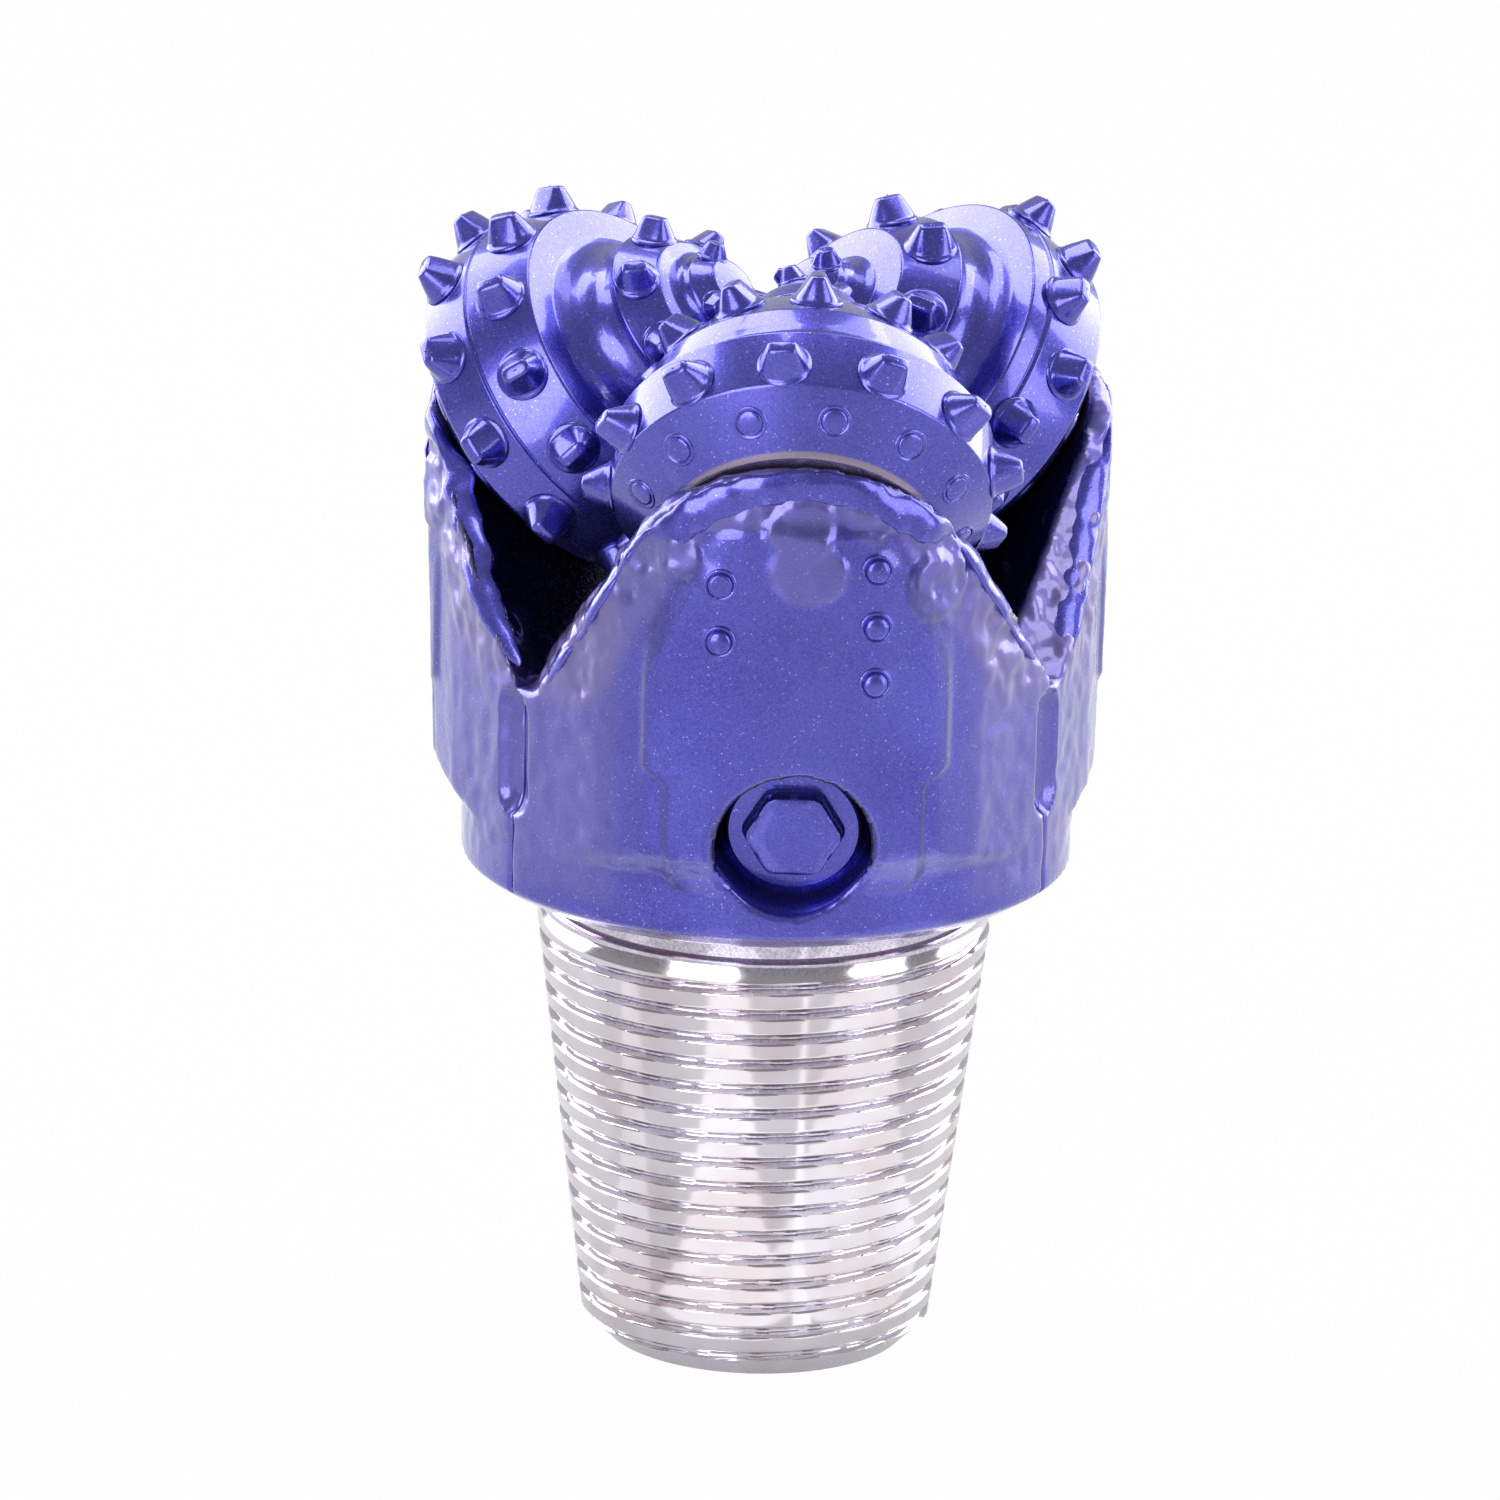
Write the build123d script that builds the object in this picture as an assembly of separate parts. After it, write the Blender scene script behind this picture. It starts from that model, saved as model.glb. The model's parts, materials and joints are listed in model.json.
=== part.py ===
from build123d import *
import math
import os

# Three-cone rotary rock bit with pressed-in carbide inserts, sealed journal bearings,
# a 3-1/2 in regular pin and one central wash nozzle.
# Units are millimetres. Z is the bit axis, up towards the cones.
# The origin is the centre of the make-up shoulder face.
# Each leg is drawn in its own frame: X radial, Y tangential, Z up, then turned about Z.

# ---- legs and body ----
LEG_COUNT = 3
FIRST_LEG_AZIMUTH = -90.0
LEG_TURN = 5.0               # the forged sector is turned this far round to sit behind its journal
BODY_RADIUS = 57.9
SHOULDER_RADIUS = 52.2
BEVEL_HEIGHT = 3.6
BODY_TOP = 14.0              # height where the plain body ends and the leg panel starts
PANEL_FOOT = 20.0
PANEL_FOOT_RADIUS = 63.0
PANEL_WAIST_RADIUS = 63.9
PANEL_WAIST_HEIGHT = 50.0
SHIRTTAIL_RADIUS = 65.4
SHIRTTAIL_HEIGHT = 76.0
PANEL_HALF_ANGLE = 22.0
FLANK_RADIUS = 60.6
FLANK_HALF_ANGLE = 36.0
SEAM_HALF_ANGLE = 50.0
ARCH_TOP = 95.8
ARCH_HALF_WIDTH = 27.8
ARCH_SPRING = 83.5
VALLEY_HALF_WIDTH = 49.0
VALLEY_HEIGHT = 43.5
CROWN_HEIGHT = 45.0

# ---- pin and water course ----
PIN_LENGTH = 92.5
PIN_CREST_DIAMETER = 88.9
PIN_TAPER = 0.25             # on diameter
THREAD_DEPTH = 3.1           # the turned cone is the root of the thread
PIN_NECK_LENGTH = 7.0
PIN_NECK_RADIUS = 41.3
PIN_END_CHAMFER = 4.0
WATER_COURSE_DIAMETER = 38.1
PLENUM_HEIGHT = 24.0
PLENUM_TOP = 33.0

# ---- cone axes ----
JOURNAL_ANGLE = 38.5         # below horizontal
APEX_HEIGHT = 119.0
CONE_OFFSET = 5.5            # sideways shift of each journal from the bit axis
GAUGE_T = 55.8               # distances "T" are measured from the apex along the journal
GAUGE_R = 35.1
CONE_BACK_T = 64.4
CONE_BACK_GAP = 0.4

# ---- journal bearing ----
JOURNAL_RADIUS = 16.5
JOURNAL_START_T = 58.6
RUNNING_CLEARANCE = 0.1
SIDE_CLEARANCE = 0.4
JOURNAL_ROOT = 1.0           # how far the journal runs into the arm
SEAL_BOSS_RADIUS = 18.6
SEAL_SECTION = 3.3
SEAL_CENTRE_T = 61.0
GLAND_WIDTH = 3.8
BUSH_WALL = 2.4
BUSH_LENGTH = 11.0
BALL_DIAMETER = 9.5
BALL_COUNT = 10
BALL_T = 42.2
RACE_CLEARANCE = 0.08
FLANGE_T = 37.4
WASHER_THICKNESS = 1.8
PILOT_RADIUS = 9.5
PILOT_LENGTH = 10.8
NOSE_BUSH_WALL = 2.2
NOSE_BUSH_LENGTH = 8.5
BALL_HOLE_DIAMETER = 9.9
BALL_HOLE_OUTER_T = 71.7
BALL_HOLE_OUTER_R = 13.5
BALL_HOLE_INNER_R = -14.5

# ---- carbide ----
INSERT_DIAMETER = 9.5
INSERT_PROTRUSION = 6.0
INSERT_GRIP = 8.0
INNER_PROTRUSION = 5.4       # of a full-size inner insert; smaller ones in proportion
INNER_GRIP = 6.5
CREST_SHARE = 0.5            # crest length over insert diameter
CREST_HALF_WIDTH = 0.9
HOLE_RUN_OUT = 3.0           # how far a hole's cutter runs out past the surface
NOSE_INSERT_DIAMETER = 5.6
NOSE_INSERT_GRIP = 2.8
NOSE_INSERT_PROTRUSION = 3.2
NOSE_TILT = 50.0
HEEL_BUTTON_DIAMETER = 5.5
HEEL_BUTTON_GRIP = 3.2
HEEL_BUTTON_RISE = 0.5
HEEL_BUTTON_COUNT = 12
HEEL_BUTTON_DROP = 6.6       # down the heel from the gauge edge
HEEL_BUTTON_PHASE = -11.0
LEG_BUTTON_DIAMETER = 5.2
LEG_BUTTON_GRIP = 5.0
LEG_BUTTON_RISE = 0.9
LEG_BUTTON_OFFSET = 14.4
LEG_BUTTON_HEIGHTS = ((-1, 62.5), (-1, 73.5), (1, 54.4), (1, 65.3), (1, 76.3))

# ---- grease reservoir ----
POCKET_RADIUS = 14.5
POCKET_HEIGHT = 22.4
POCKET_TILT = 12.0           # the mouth looks this far down
POCKET_FLOOR = 51.5          # measured along the pocket axis from the bit axis
RESERVOIR_RADIUS = 12.5
RESERVOIR_DEPTH = 18.0
CAP_THICKNESS = 4.0
CAP_RIM = 1.2
CAP_HEX = 17.0
CAP_HEX_HEIGHT = 3.4
CAP_VENT_DIAMETER = 2.5
SNAP_RING_THICKNESS = 1.4
SNAP_RING_WIDTH = 2.2
SNAP_RING_BITE = 0.9
SNAP_RING_GAP = 5.0
CUP_WALL = 1.2
DIAPHRAGM_WALL = 1.0
DIAPHRAGM_RADIUS = 7.5
DIAPHRAGM_DEPTH = 8.0
GREASE_HOLE_DIAMETER = 4.0
GREASE_ENTRY_T = 62.0        # where the passage meets the ball hole

# ---- central nozzle ----
NOZZLE_RADIUS = 8.0
NOZZLE_LENGTH = 8.0
NOZZLE_ORIFICE_RADIUS = 3.6
NOZZLE_RING_THICKNESS = 1.5
NOZZLE_RING_BITE = 0.8
NOZZLE_SEAL_SECTION = 1.8

REACH = 200.0                # longer than anything it cuts


# ---- cone profiles and rows ----
def land(t1, r1, t2, r2):
    """A land between two points of the cone profile, and its slope in degrees."""
    return (t1, r1), (t2, r2), math.degrees(math.atan2(r1 - r2, t1 - t2))


# Points are (t, r) in the journal frame. Each cone's rows turn inside its neighbours' grooves.
# "gauge" rows are (t, count, first angle), "rows" start with the land they stand on and end
# with the insert diameter, "nose_row" is (t, r, count, first angle).
GAUGE_LAND_R = 35.3
CONES = (
    {   # leg 1: one gauge row, a smooth step, one deep-set inner row, a grooved nose
        "lands": (land(34.6, 29.8, 26.4, 23.2), land(17.8, 12.4, 13.4, 10.0)),
        "gauge_end": 43.9,
        "grooves": (((43.2, 32.6), (40.6, 31.2), (38.6, 30.8)),
                    ((26.0, 18.2), (22.4, 12.9), (18.7, 11.8))),
        "nose": ((13.0, 9.0), (12.0, 7.8), (11.0, 7.6), (7.4, 4.0), (6.8, 0.0)),
        "gauge": ((51.4, 12, 6.0),),
        "rows": ((0, 29.3, 11, -4.0, 9.5),),
        "nose_row": (9.2, 5.4, 3, 30.0),
    },
    {   # leg 2: a staggered gauge row, a wide groove, an inner row and a deep neck
        "lands": (land(41.4, 34.8, 37.8, 33.9), land(27.8, 24.9, 19.4, 17.0)),
        "gauge_end": 42.2,
        "grooves": (((41.9, 34.6), (41.6, 34.6)), ((37.5, 28.6), (33.4, 23.3), (28.6, 22.8))),
        "nose": ((19.2, 10.6), (16.0, 7.6), (12.8, 7.0), (10.2, 4.8), (9.6, 0.0)),
        "gauge": ((49.9, 8, 24.0), (44.9, 8, 46.5)),
        "rows": ((1, 23.7, 8, -17.5, 9.5),),
        "nose_row": (11.6, 5.4, 3, 20.0),
    },
    {   # leg 3: gauge row, adjacent row, wide groove, inner row, small nose
        "lands": (land(44.2, 35.0, 32.6, 30.0), land(21.6, 18.8, 15.2, 13.2)),
        "gauge_end": 44.9,
        "grooves": (((44.7, 34.8), (44.4, 34.8)), ((32.4, 24.0), (27.8, 18.0), (22.3, 17.2))),
        "nose": ((14.6, 10.4), (13.0, 8.6), (11.6, 8.4), (8.2, 5.4), (7.4, 0.0)),
        "gauge": ((51.0, 12, -33.0),),
        "rows": ((0, 38.0, 12, 9.0, 9.5), (1, 18.2, 7, -52.0, 8.2)),
        "nose_row": (10.0, 6.8, 3, 10.0),
    },
)

# ---- worked out from the sizes above ----
BETA = math.radians(JOURNAL_ANGLE)
LEG_FACE_T = CONE_BACK_T + CONE_BACK_GAP
CONE_BACK_R = GAUGE_R - (CONE_BACK_T - GAUGE_T) / math.tan(BETA)
GLAND_RADIUS = SEAL_BOSS_RADIUS + RUNNING_CLEARANCE + SEAL_SECTION
BUSH_BORE = JOURNAL_RADIUS + RUNNING_CLEARANCE
BUSH_RADIUS = BUSH_BORE + BUSH_WALL
BUSH_START_T = JOURNAL_START_T - SIDE_CLEARANCE
FLANGE_BORE = JOURNAL_RADIUS + SIDE_CLEARANCE
BALL_RADIUS = BALL_DIAMETER / 2
RACE_RADIUS = BALL_RADIUS + RACE_CLEARANCE
WASHER_T = FLANGE_T - RUNNING_CLEARANCE
WASHER_SEAT_T = WASHER_T - WASHER_THICKNESS
NOSE_BUSH_BORE = PILOT_RADIUS + RUNNING_CLEARANCE
NOSE_BUSH_RADIUS = NOSE_BUSH_BORE + NOSE_BUSH_WALL
PILOT_END_T = FLANGE_T - PILOT_LENGTH
CAVITY_END_T = PILOT_END_T - SIDE_CLEARANCE
WATER_RADIUS = WATER_COURSE_DIAMETER / 2
RESERVOIR_FLOOR = POCKET_FLOOR - SNAP_RING_THICKNESS - RESERVOIR_DEPTH
CAP_FACE = POCKET_FLOOR - 2 * SNAP_RING_THICKNESS
CUP_MOUTH = CAP_FACE - CAP_THICKNESS

AXIS_T = Plane(
    origin=(0, CONE_OFFSET, APEX_HEIGHT),
    x_dir=(math.sin(BETA), 0, math.cos(BETA)),
    z_dir=(math.cos(BETA), 0, -math.sin(BETA)),
)
POCKET = Plane(
    origin=(0, CONE_OFFSET, POCKET_HEIGHT + BODY_RADIUS * math.tan(math.radians(POCKET_TILT))),
    x_dir=(0, 1, 0),
    z_dir=(math.cos(math.radians(POCKET_TILT)), 0, -math.sin(math.radians(POCKET_TILT))),
)


def turned(points):
    """Solid of revolution about Z from (radius, height) points."""
    return revolve(Plane.XZ * make_face(Polyline(*points, close=True)), Axis.Z)


def rod(radius, low, high):
    """Cylinder about Z between two heights."""
    return Pos(0, 0, (low + high) / 2) * Cylinder(radius, high - low)


def tube(outer, inner, low, high):
    """Ring about Z between two heights."""
    return rod(outer, low, high) - rod(inner, low - 1, high + 1)


def on_leg(shape, leg):
    """Turn a shape from the leg frame to leg 1, 2 or 3."""
    return Rot(0, 0, FIRST_LEG_AZIMUTH + 360 / LEG_COUNT * leg) * shape


def polar(radius, degrees):
    a = math.radians(degrees)
    return radius * math.cos(a), radius * math.sin(a)


def ring_places(count, first):
    return [first + 360 / count * i for i in range(count)]


# ---- leg ----
def pin_radius(z):
    """Root radius of the tapered pin at a height below the shoulder."""
    return PIN_CREST_DIAMETER / 2 - THREAD_DEPTH + PIN_TAPER / 2 * z


def body_of_revolution():
    """Pin cone, shoulder, bevel and plain body, up to the crown between the cones."""
    end = -PIN_LENGTH
    return turned((
        (0, end), (pin_radius(end) - PIN_END_CHAMFER, end), (pin_radius(end), end + PIN_END_CHAMFER),
        (pin_radius(-PIN_NECK_LENGTH), -PIN_NECK_LENGTH), (PIN_NECK_RADIUS, -PIN_NECK_LENGTH),
        (PIN_NECK_RADIUS, 0), (SHOULDER_RADIUS, 0), (BODY_RADIUS, BEVEL_HEIGHT),
        (BODY_RADIUS, VALLEY_HEIGHT), (BODY_RADIUS * 0.55, CROWN_HEIGHT), (0, CROWN_HEIGHT),
    ))


def arm_plan():
    """Plan of the forged arm: round panel in front, slanted flanks beside it."""
    corners = (
        (SHIRTTAIL_RADIUS + 3, PANEL_HALF_ANGLE - 3), (PANEL_WAIST_RADIUS + 0.8, PANEL_HALF_ANGLE),
        (FLANK_RADIUS, FLANK_HALF_ANGLE), (BODY_RADIUS, SEAM_HALF_ANGLE), (BODY_RADIUS, 60),
    )
    right = [polar(r, LEG_TURN + a) for r, a in corners]
    left = [polar(r, LEG_TURN - a) for r, a in corners]
    tip = [polar(SHIRTTAIL_RADIUS + 6, LEG_TURN)]
    return extrude(make_face(Polyline(*tip, *right, (0, 0), *reversed(left), close=True)), ARCH_TOP + 5)


def arm_front():
    """Front outline of the arm: round arch on top, spreading to the full sector below."""
    half, spring = ARCH_HALF_WIDTH, ARCH_SPRING
    low = BODY_TOP - 8
    wide = VALLEY_HALF_WIDTH
    outline = [
        ThreePointArc((-half, spring), (0, ARCH_TOP), (half, spring)),
        Line((half, spring), (wide, VALLEY_HEIGHT)),
        Line((wide, VALLEY_HEIGHT), (wide + 15, VALLEY_HEIGHT - 8)),
        Line((wide + 15, VALLEY_HEIGHT - 8), (wide + 15, low)),
        Line((wide + 15, low), (-wide - 15, low)),
        Line((-wide - 15, low), (-wide - 15, VALLEY_HEIGHT - 8)),
        Line((-wide - 15, VALLEY_HEIGHT - 8), (-wide, VALLEY_HEIGHT)),
        Line((-wide, VALLEY_HEIGHT), (-half, spring)),
    ]
    face = make_face(Curve() + outline)
    return extrude(Plane(origin=(0, CONE_OFFSET, 0), x_dir=(0, 1, 0), z_dir=(1, 0, 0)) * face, REACH)


def arm():
    """Arm outside the cone: turned outer surface, cut to the plan and the front outline."""
    outer = turned((
        (0, BODY_TOP - 6), (BODY_RADIUS, BODY_TOP - 6), (BODY_RADIUS, BODY_TOP),
        (PANEL_FOOT_RADIUS, PANEL_FOOT), (PANEL_WAIST_RADIUS, PANEL_WAIST_HEIGHT),
        (SHIRTTAIL_RADIUS, SHIRTTAIL_HEIGHT), (SHIRTTAIL_RADIUS, ARCH_TOP + 5), (0, ARCH_TOP + 5),
    ))
    return outer & arm_plan() & arm_front()


def cone_room():
    """Everything above the crown on the cone's side of the leg face."""
    side = Pos(0, 0, LEG_FACE_T - REACH / 2) * Box(REACH, REACH, REACH)
    above = Pos(0, 0, CROWN_HEIGHT + REACH / 2) * Box(REACH, REACH, REACH)
    return (AXIS_T * side) & above


def journal_pin():
    """Seal boss, main journal with the ball race, thrust flange and pilot, about local Z."""
    root = LEG_FACE_T + JOURNAL_ROOT
    pin = turned((
        (0, PILOT_END_T), (PILOT_RADIUS, PILOT_END_T), (PILOT_RADIUS, FLANGE_T),
        (JOURNAL_RADIUS, FLANGE_T), (JOURNAL_RADIUS, JOURNAL_START_T),
        (SEAL_BOSS_RADIUS, JOURNAL_START_T), (SEAL_BOSS_RADIUS, root), (0, root),
    ))
    return pin - Pos(0, 0, BALL_T) * Torus(JOURNAL_RADIUS, RACE_RADIUS)


def ball_hole():
    """Slanting bore from the leg's back to the ball race, with the plug that fills it."""
    dt = BALL_HOLE_OUTER_T - BALL_T
    dr = BALL_HOLE_OUTER_R - BALL_HOLE_INNER_R
    slant = Plane(origin=(BALL_HOLE_INNER_R, 0, BALL_T), z_dir=(dr, 0, dt))
    length = math.hypot(dt, dr)
    return AXIS_T * (slant * (Pos(0, 0, length / 2 + 5) * Cylinder(BALL_HOLE_DIAMETER / 2, length + 10)))


def grease_hole():
    """Drilled passage from the reservoir up to the ball hole."""
    share = (GREASE_ENTRY_T - BALL_T) / (BALL_HOLE_OUTER_T - BALL_T)
    entry_r = BALL_HOLE_INNER_R + share * (BALL_HOLE_OUTER_R - BALL_HOLE_INNER_R)
    low = POCKET.from_local_coords(Vector(0, 0, RESERVOIR_FLOOR + 8))
    high = AXIS_T.from_local_coords(Vector(entry_r, 0, GREASE_ENTRY_T))
    path = Plane(origin=low, z_dir=high - low)
    reach = (high - low).length
    return path * (Pos(0, 0, reach / 2) * Cylinder(GREASE_HOLE_DIAMETER / 2, reach))


def reservoir_room():
    """Pocket in the panel, reservoir bore behind it and the snap ring's groove."""
    pocket = rod(POCKET_RADIUS, POCKET_FLOOR, POCKET_FLOOR + 40)
    bore = rod(RESERVOIR_RADIUS, RESERVOIR_FLOOR, POCKET_FLOOR + 1)
    groove_low = POCKET_FLOOR - 2 * SNAP_RING_THICKNESS
    groove = rod(RESERVOIR_RADIUS + SNAP_RING_BITE, groove_low, groove_low + SNAP_RING_THICKNESS)
    return POCKET * (pocket + bore + groove)


def water_course():
    """Bore through the pin, plenum dome, nozzle bore and nozzle ring groove."""
    seat = CROWN_HEIGHT - NOZZLE_RING_THICKNESS * 2 - NOZZLE_LENGTH
    course = turned((
        (0, -PIN_LENGTH - 1), (WATER_RADIUS, -PIN_LENGTH - 1), (WATER_RADIUS, PLENUM_HEIGHT),
        (NOZZLE_RADIUS - 2, PLENUM_TOP), (NOZZLE_RADIUS - 2, seat),
        (NOZZLE_RADIUS, seat), (NOZZLE_RADIUS, CROWN_HEIGHT + 1), (0, CROWN_HEIGHT + 1),
    ))
    ring_low = seat + NOZZLE_LENGTH
    return course + rod(NOZZLE_RADIUS + NOZZLE_RING_BITE, ring_low, ring_low + NOZZLE_RING_THICKNESS)


def sector():
    """The third of the bit that belongs to one leg."""
    a, b = polar(REACH, LEG_TURN - 60), polar(REACH, LEG_TURN + 60)
    tip = polar(REACH * 2, LEG_TURN)
    return Pos(0, 0, -REACH) * extrude(make_face(Polyline((0, 0), a, tip, b, close=True)), 2 * REACH)


def leg_button_places():
    """Frames on the panel, X outwards, one for each carbide button."""
    places = []
    for side, z in LEG_BUTTON_HEIGHTS:
        y = CONE_OFFSET + side * LEG_BUTTON_OFFSET
        skin = panel_radius(z)
        turn = math.degrees(math.asin(y / skin))
        places.append(Rot(0, 0, turn) * Plane(origin=(skin, 0, z), z_dir=(1, 0, 0)).location)
    return places


def panel_radius(z):
    """Outer radius of the panel at a height."""
    if z >= SHIRTTAIL_HEIGHT:
        return SHIRTTAIL_RADIUS
    share = (z - PANEL_WAIST_HEIGHT) / (SHIRTTAIL_HEIGHT - PANEL_WAIST_HEIGHT)
    return PANEL_WAIST_RADIUS + share * (SHIRTTAIL_RADIUS - PANEL_WAIST_RADIUS)


def leg_blank():
    """Forged and turned leg with its journal, before the ball hole and button holes."""
    blank = (body_of_revolution() + arm()) & sector()
    blank = blank - cone_room()
    blank = blank + AXIS_T * journal_pin()
    return blank - water_course() - reservoir_room()


def leg_and_plug():
    blank = leg_blank()
    hole = ball_hole()
    plug = blank & hole
    leg = blank - hole - grease_hole()
    for place in leg_button_places():
        leg = leg - place * rod(LEG_BUTTON_DIAMETER / 2, -LEG_BUTTON_GRIP, 5)
    return leg.solid(), plug.solid()


# ---- carbide pieces ----
def chisel_insert(diameter, grip, protrusion):
    """Pressed barrel with a tapered top ending in a straight crest along Y."""
    r = diameter / 2
    half_length = CREST_SHARE * r
    top = Pos(0, 0, protrusion / 2) * Cone(r, half_length, protrusion)
    wedge = Plane.XZ * make_face(Polyline(
        (-r, 0), (r, 0), (CREST_HALF_WIDTH, protrusion), (-CREST_HALF_WIDTH, protrusion), close=True))
    return rod(r, -grip, 0) + (top & extrude(wedge, r + 1, both=True))


def domed_button(diameter, grip, rise):
    """Short barrel with a low round top."""
    r = diameter / 2
    sphere = (r * r + rise * rise) / (2 * rise)
    dome = Pos(0, 0, rise - sphere) * Sphere(sphere)
    return rod(r, -grip, rise) & (dome + rod(r, -grip, 0))


def surface_place(t, r, tilt, angle):
    """Frame on a cone surface: Z out of it, leaning by the tilt towards the nose, Y along it."""
    lean = math.radians(tilt)
    skin = Plane(origin=(r, 0, t), x_dir=(0, 1, 0), z_dir=(math.cos(lean), 0, -math.sin(lean)))
    return Rot(0, 0, angle) * skin.location


def land_point(cone, index, t):
    (t1, r1), (t2, r2), tilt = cone["lands"][index]
    return r1 + (t - t1) * (r1 - r2) / (t1 - t2), tilt


def gauge_tilt(cone):
    return math.degrees(math.atan2(GAUGE_R - GAUGE_LAND_R, GAUGE_T - cone["gauge_end"]))


def gauge_places(cone):
    """Frames of the gauge row, crests along the circle."""
    places = []
    for t, count, first in cone["gauge"]:
        for a in ring_places(count, first):
            r = GAUGE_R + (GAUGE_LAND_R - GAUGE_R) * (GAUGE_T - t) / (GAUGE_T - cone["gauge_end"])
            places.append(surface_place(t, r, gauge_tilt(cone), a) * Rot(0, 0, 90))
    return places


def row_places(cone):
    """Frames and barrel sizes of the inner rows, crests along the cone."""
    places = []
    for index, t, count, first, diameter in cone["rows"]:
        r, tilt = land_point(cone, index, t)
        share = diameter / INSERT_DIAMETER
        for a in ring_places(count, first):
            places.append((surface_place(t, r, tilt, a), diameter, INNER_GRIP * share ** 3,
                           INNER_PROTRUSION * share))
    return places


def nose_places(cone):
    """Frames of the small inserts round the nose."""
    t, r, count, first = cone["nose_row"]
    return [surface_place(t, r, NOSE_TILT, a) for a in ring_places(count, first)]


def heel_places():
    """Frames of the flush buttons on the gauge-cutting heel."""
    t = GAUGE_T + HEEL_BUTTON_DROP * math.sin(BETA)
    r = GAUGE_R - HEEL_BUTTON_DROP * math.cos(BETA)
    tilt = JOURNAL_ANGLE - 90
    return [surface_place(t, r, tilt, a) for a in ring_places(HEEL_BUTTON_COUNT, HEEL_BUTTON_PHASE)]


# ---- cone ----
def cone_outline(cone):
    """Outer profile from the back face to the nose: lands joined by grooves with round floors."""
    first, second = cone["lands"]
    (start1, stop1, _), (start2, stop2, _) = first, second
    narrow, wide = cone["grooves"]
    lines = [
        Line((CONE_BACK_R, CONE_BACK_T), (GAUGE_R, GAUGE_T)),
        Line((GAUGE_R, GAUGE_T), (GAUGE_LAND_R, cone["gauge_end"])),
        Polyline((GAUGE_LAND_R, cone["gauge_end"]), *[(r, t) for t, r in narrow], start1[::-1]),
        Line(start1[::-1], stop1[::-1]),
        Line(stop1[::-1], wide[0][::-1]),
        ThreePointArc(*[(r, t) for t, r in wide]),
        Line(wide[2][::-1], start2[::-1]),
        Line(start2[::-1], stop2[::-1]),
    ]
    neck = cone["nose"]
    lines.append(Line(stop2[::-1], neck[0][::-1]))
    lines.append(ThreePointArc(*[(r, t) for t, r in neck[:3]]))
    lines.append(Line(neck[2][::-1], neck[3][::-1]))
    lines.append(Line(neck[3][::-1], neck[4][::-1]))
    lines.append(Polyline(neck[4][::-1], (0, CONE_BACK_T), (CONE_BACK_R, CONE_BACK_T)))
    return make_face(Plane.XZ * (Curve() + lines))


def cone_cavity():
    """Bore of the cone: seal gland, bush seat, ball race, thrust seat and nose bush seat."""
    lip = SEAL_BOSS_RADIUS + SIDE_CLEARANCE
    bore = turned((
        (0, CAVITY_END_T), (NOSE_BUSH_RADIUS, CAVITY_END_T), (NOSE_BUSH_RADIUS, WASHER_SEAT_T),
        (FLANGE_BORE, WASHER_SEAT_T), (FLANGE_BORE, BUSH_START_T - BUSH_LENGTH),
        (BUSH_RADIUS, BUSH_START_T - BUSH_LENGTH), (BUSH_RADIUS, SEAL_CENTRE_T - GLAND_WIDTH / 2),
        (GLAND_RADIUS, SEAL_CENTRE_T - GLAND_WIDTH / 2), (GLAND_RADIUS, SEAL_CENTRE_T + GLAND_WIDTH / 2),
        (lip, SEAL_CENTRE_T + GLAND_WIDTH / 2), (lip, CONE_BACK_T + 1), (0, CONE_BACK_T + 1),
    ))
    return bore + Pos(0, 0, BALL_T) * Torus(JOURNAL_RADIUS, RACE_RADIUS)


def cutter(cone):
    """Cone shell with its holes, and its inserts by row, all in the journal frame."""
    shell = revolve(cone_outline(cone), Axis.Z) - cone_cavity()
    gauge = [p * chisel_insert(INSERT_DIAMETER, INSERT_GRIP, INSERT_PROTRUSION)
             for p in gauge_places(cone)]
    inner = [p * chisel_insert(d, grip, rise) for p, d, grip, rise in row_places(cone)]
    nose = [p * chisel_insert(NOSE_INSERT_DIAMETER, NOSE_INSERT_GRIP, NOSE_INSERT_PROTRUSION)
            for p in nose_places(cone)]
    heel = [p * domed_button(HEEL_BUTTON_DIAMETER, HEEL_BUTTON_GRIP, HEEL_BUTTON_RISE)
            for p in heel_places()]
    holes = [p * rod(INSERT_DIAMETER / 2, -INSERT_GRIP, HOLE_RUN_OUT) for p in gauge_places(cone)]
    holes += [p * rod(d / 2, -grip, HOLE_RUN_OUT) for p, d, grip, rise in row_places(cone)]
    holes += [p * rod(NOSE_INSERT_DIAMETER / 2, -NOSE_INSERT_GRIP, HOLE_RUN_OUT)
              for p in nose_places(cone)]
    holes += [p * rod(HEEL_BUTTON_DIAMETER / 2, -HEEL_BUTTON_GRIP, HOLE_RUN_OUT)
              for p in heel_places()]
    shell = shell - holes
    return {"cone": shell.solid(), "gauge_inserts": gauge, "inner_inserts": inner,
            "nose_inserts": nose, "heel_buttons": heel}


# ---- bearing pieces, in the journal frame ----
def journal_bush():
    return tube(BUSH_RADIUS, BUSH_BORE, BUSH_START_T - BUSH_LENGTH, BUSH_START_T)


def nose_bush():
    low = WASHER_SEAT_T - NOSE_BUSH_LENGTH
    return tube(NOSE_BUSH_RADIUS, NOSE_BUSH_BORE, low, WASHER_SEAT_T)


def thrust_washer():
    return tube(JOURNAL_RADIUS, NOSE_BUSH_BORE, WASHER_SEAT_T, WASHER_T)


def seal_ring():
    r = SEAL_SECTION / 2
    return Pos(0, 0, SEAL_CENTRE_T) * Torus(GLAND_RADIUS - r, r)


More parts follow.
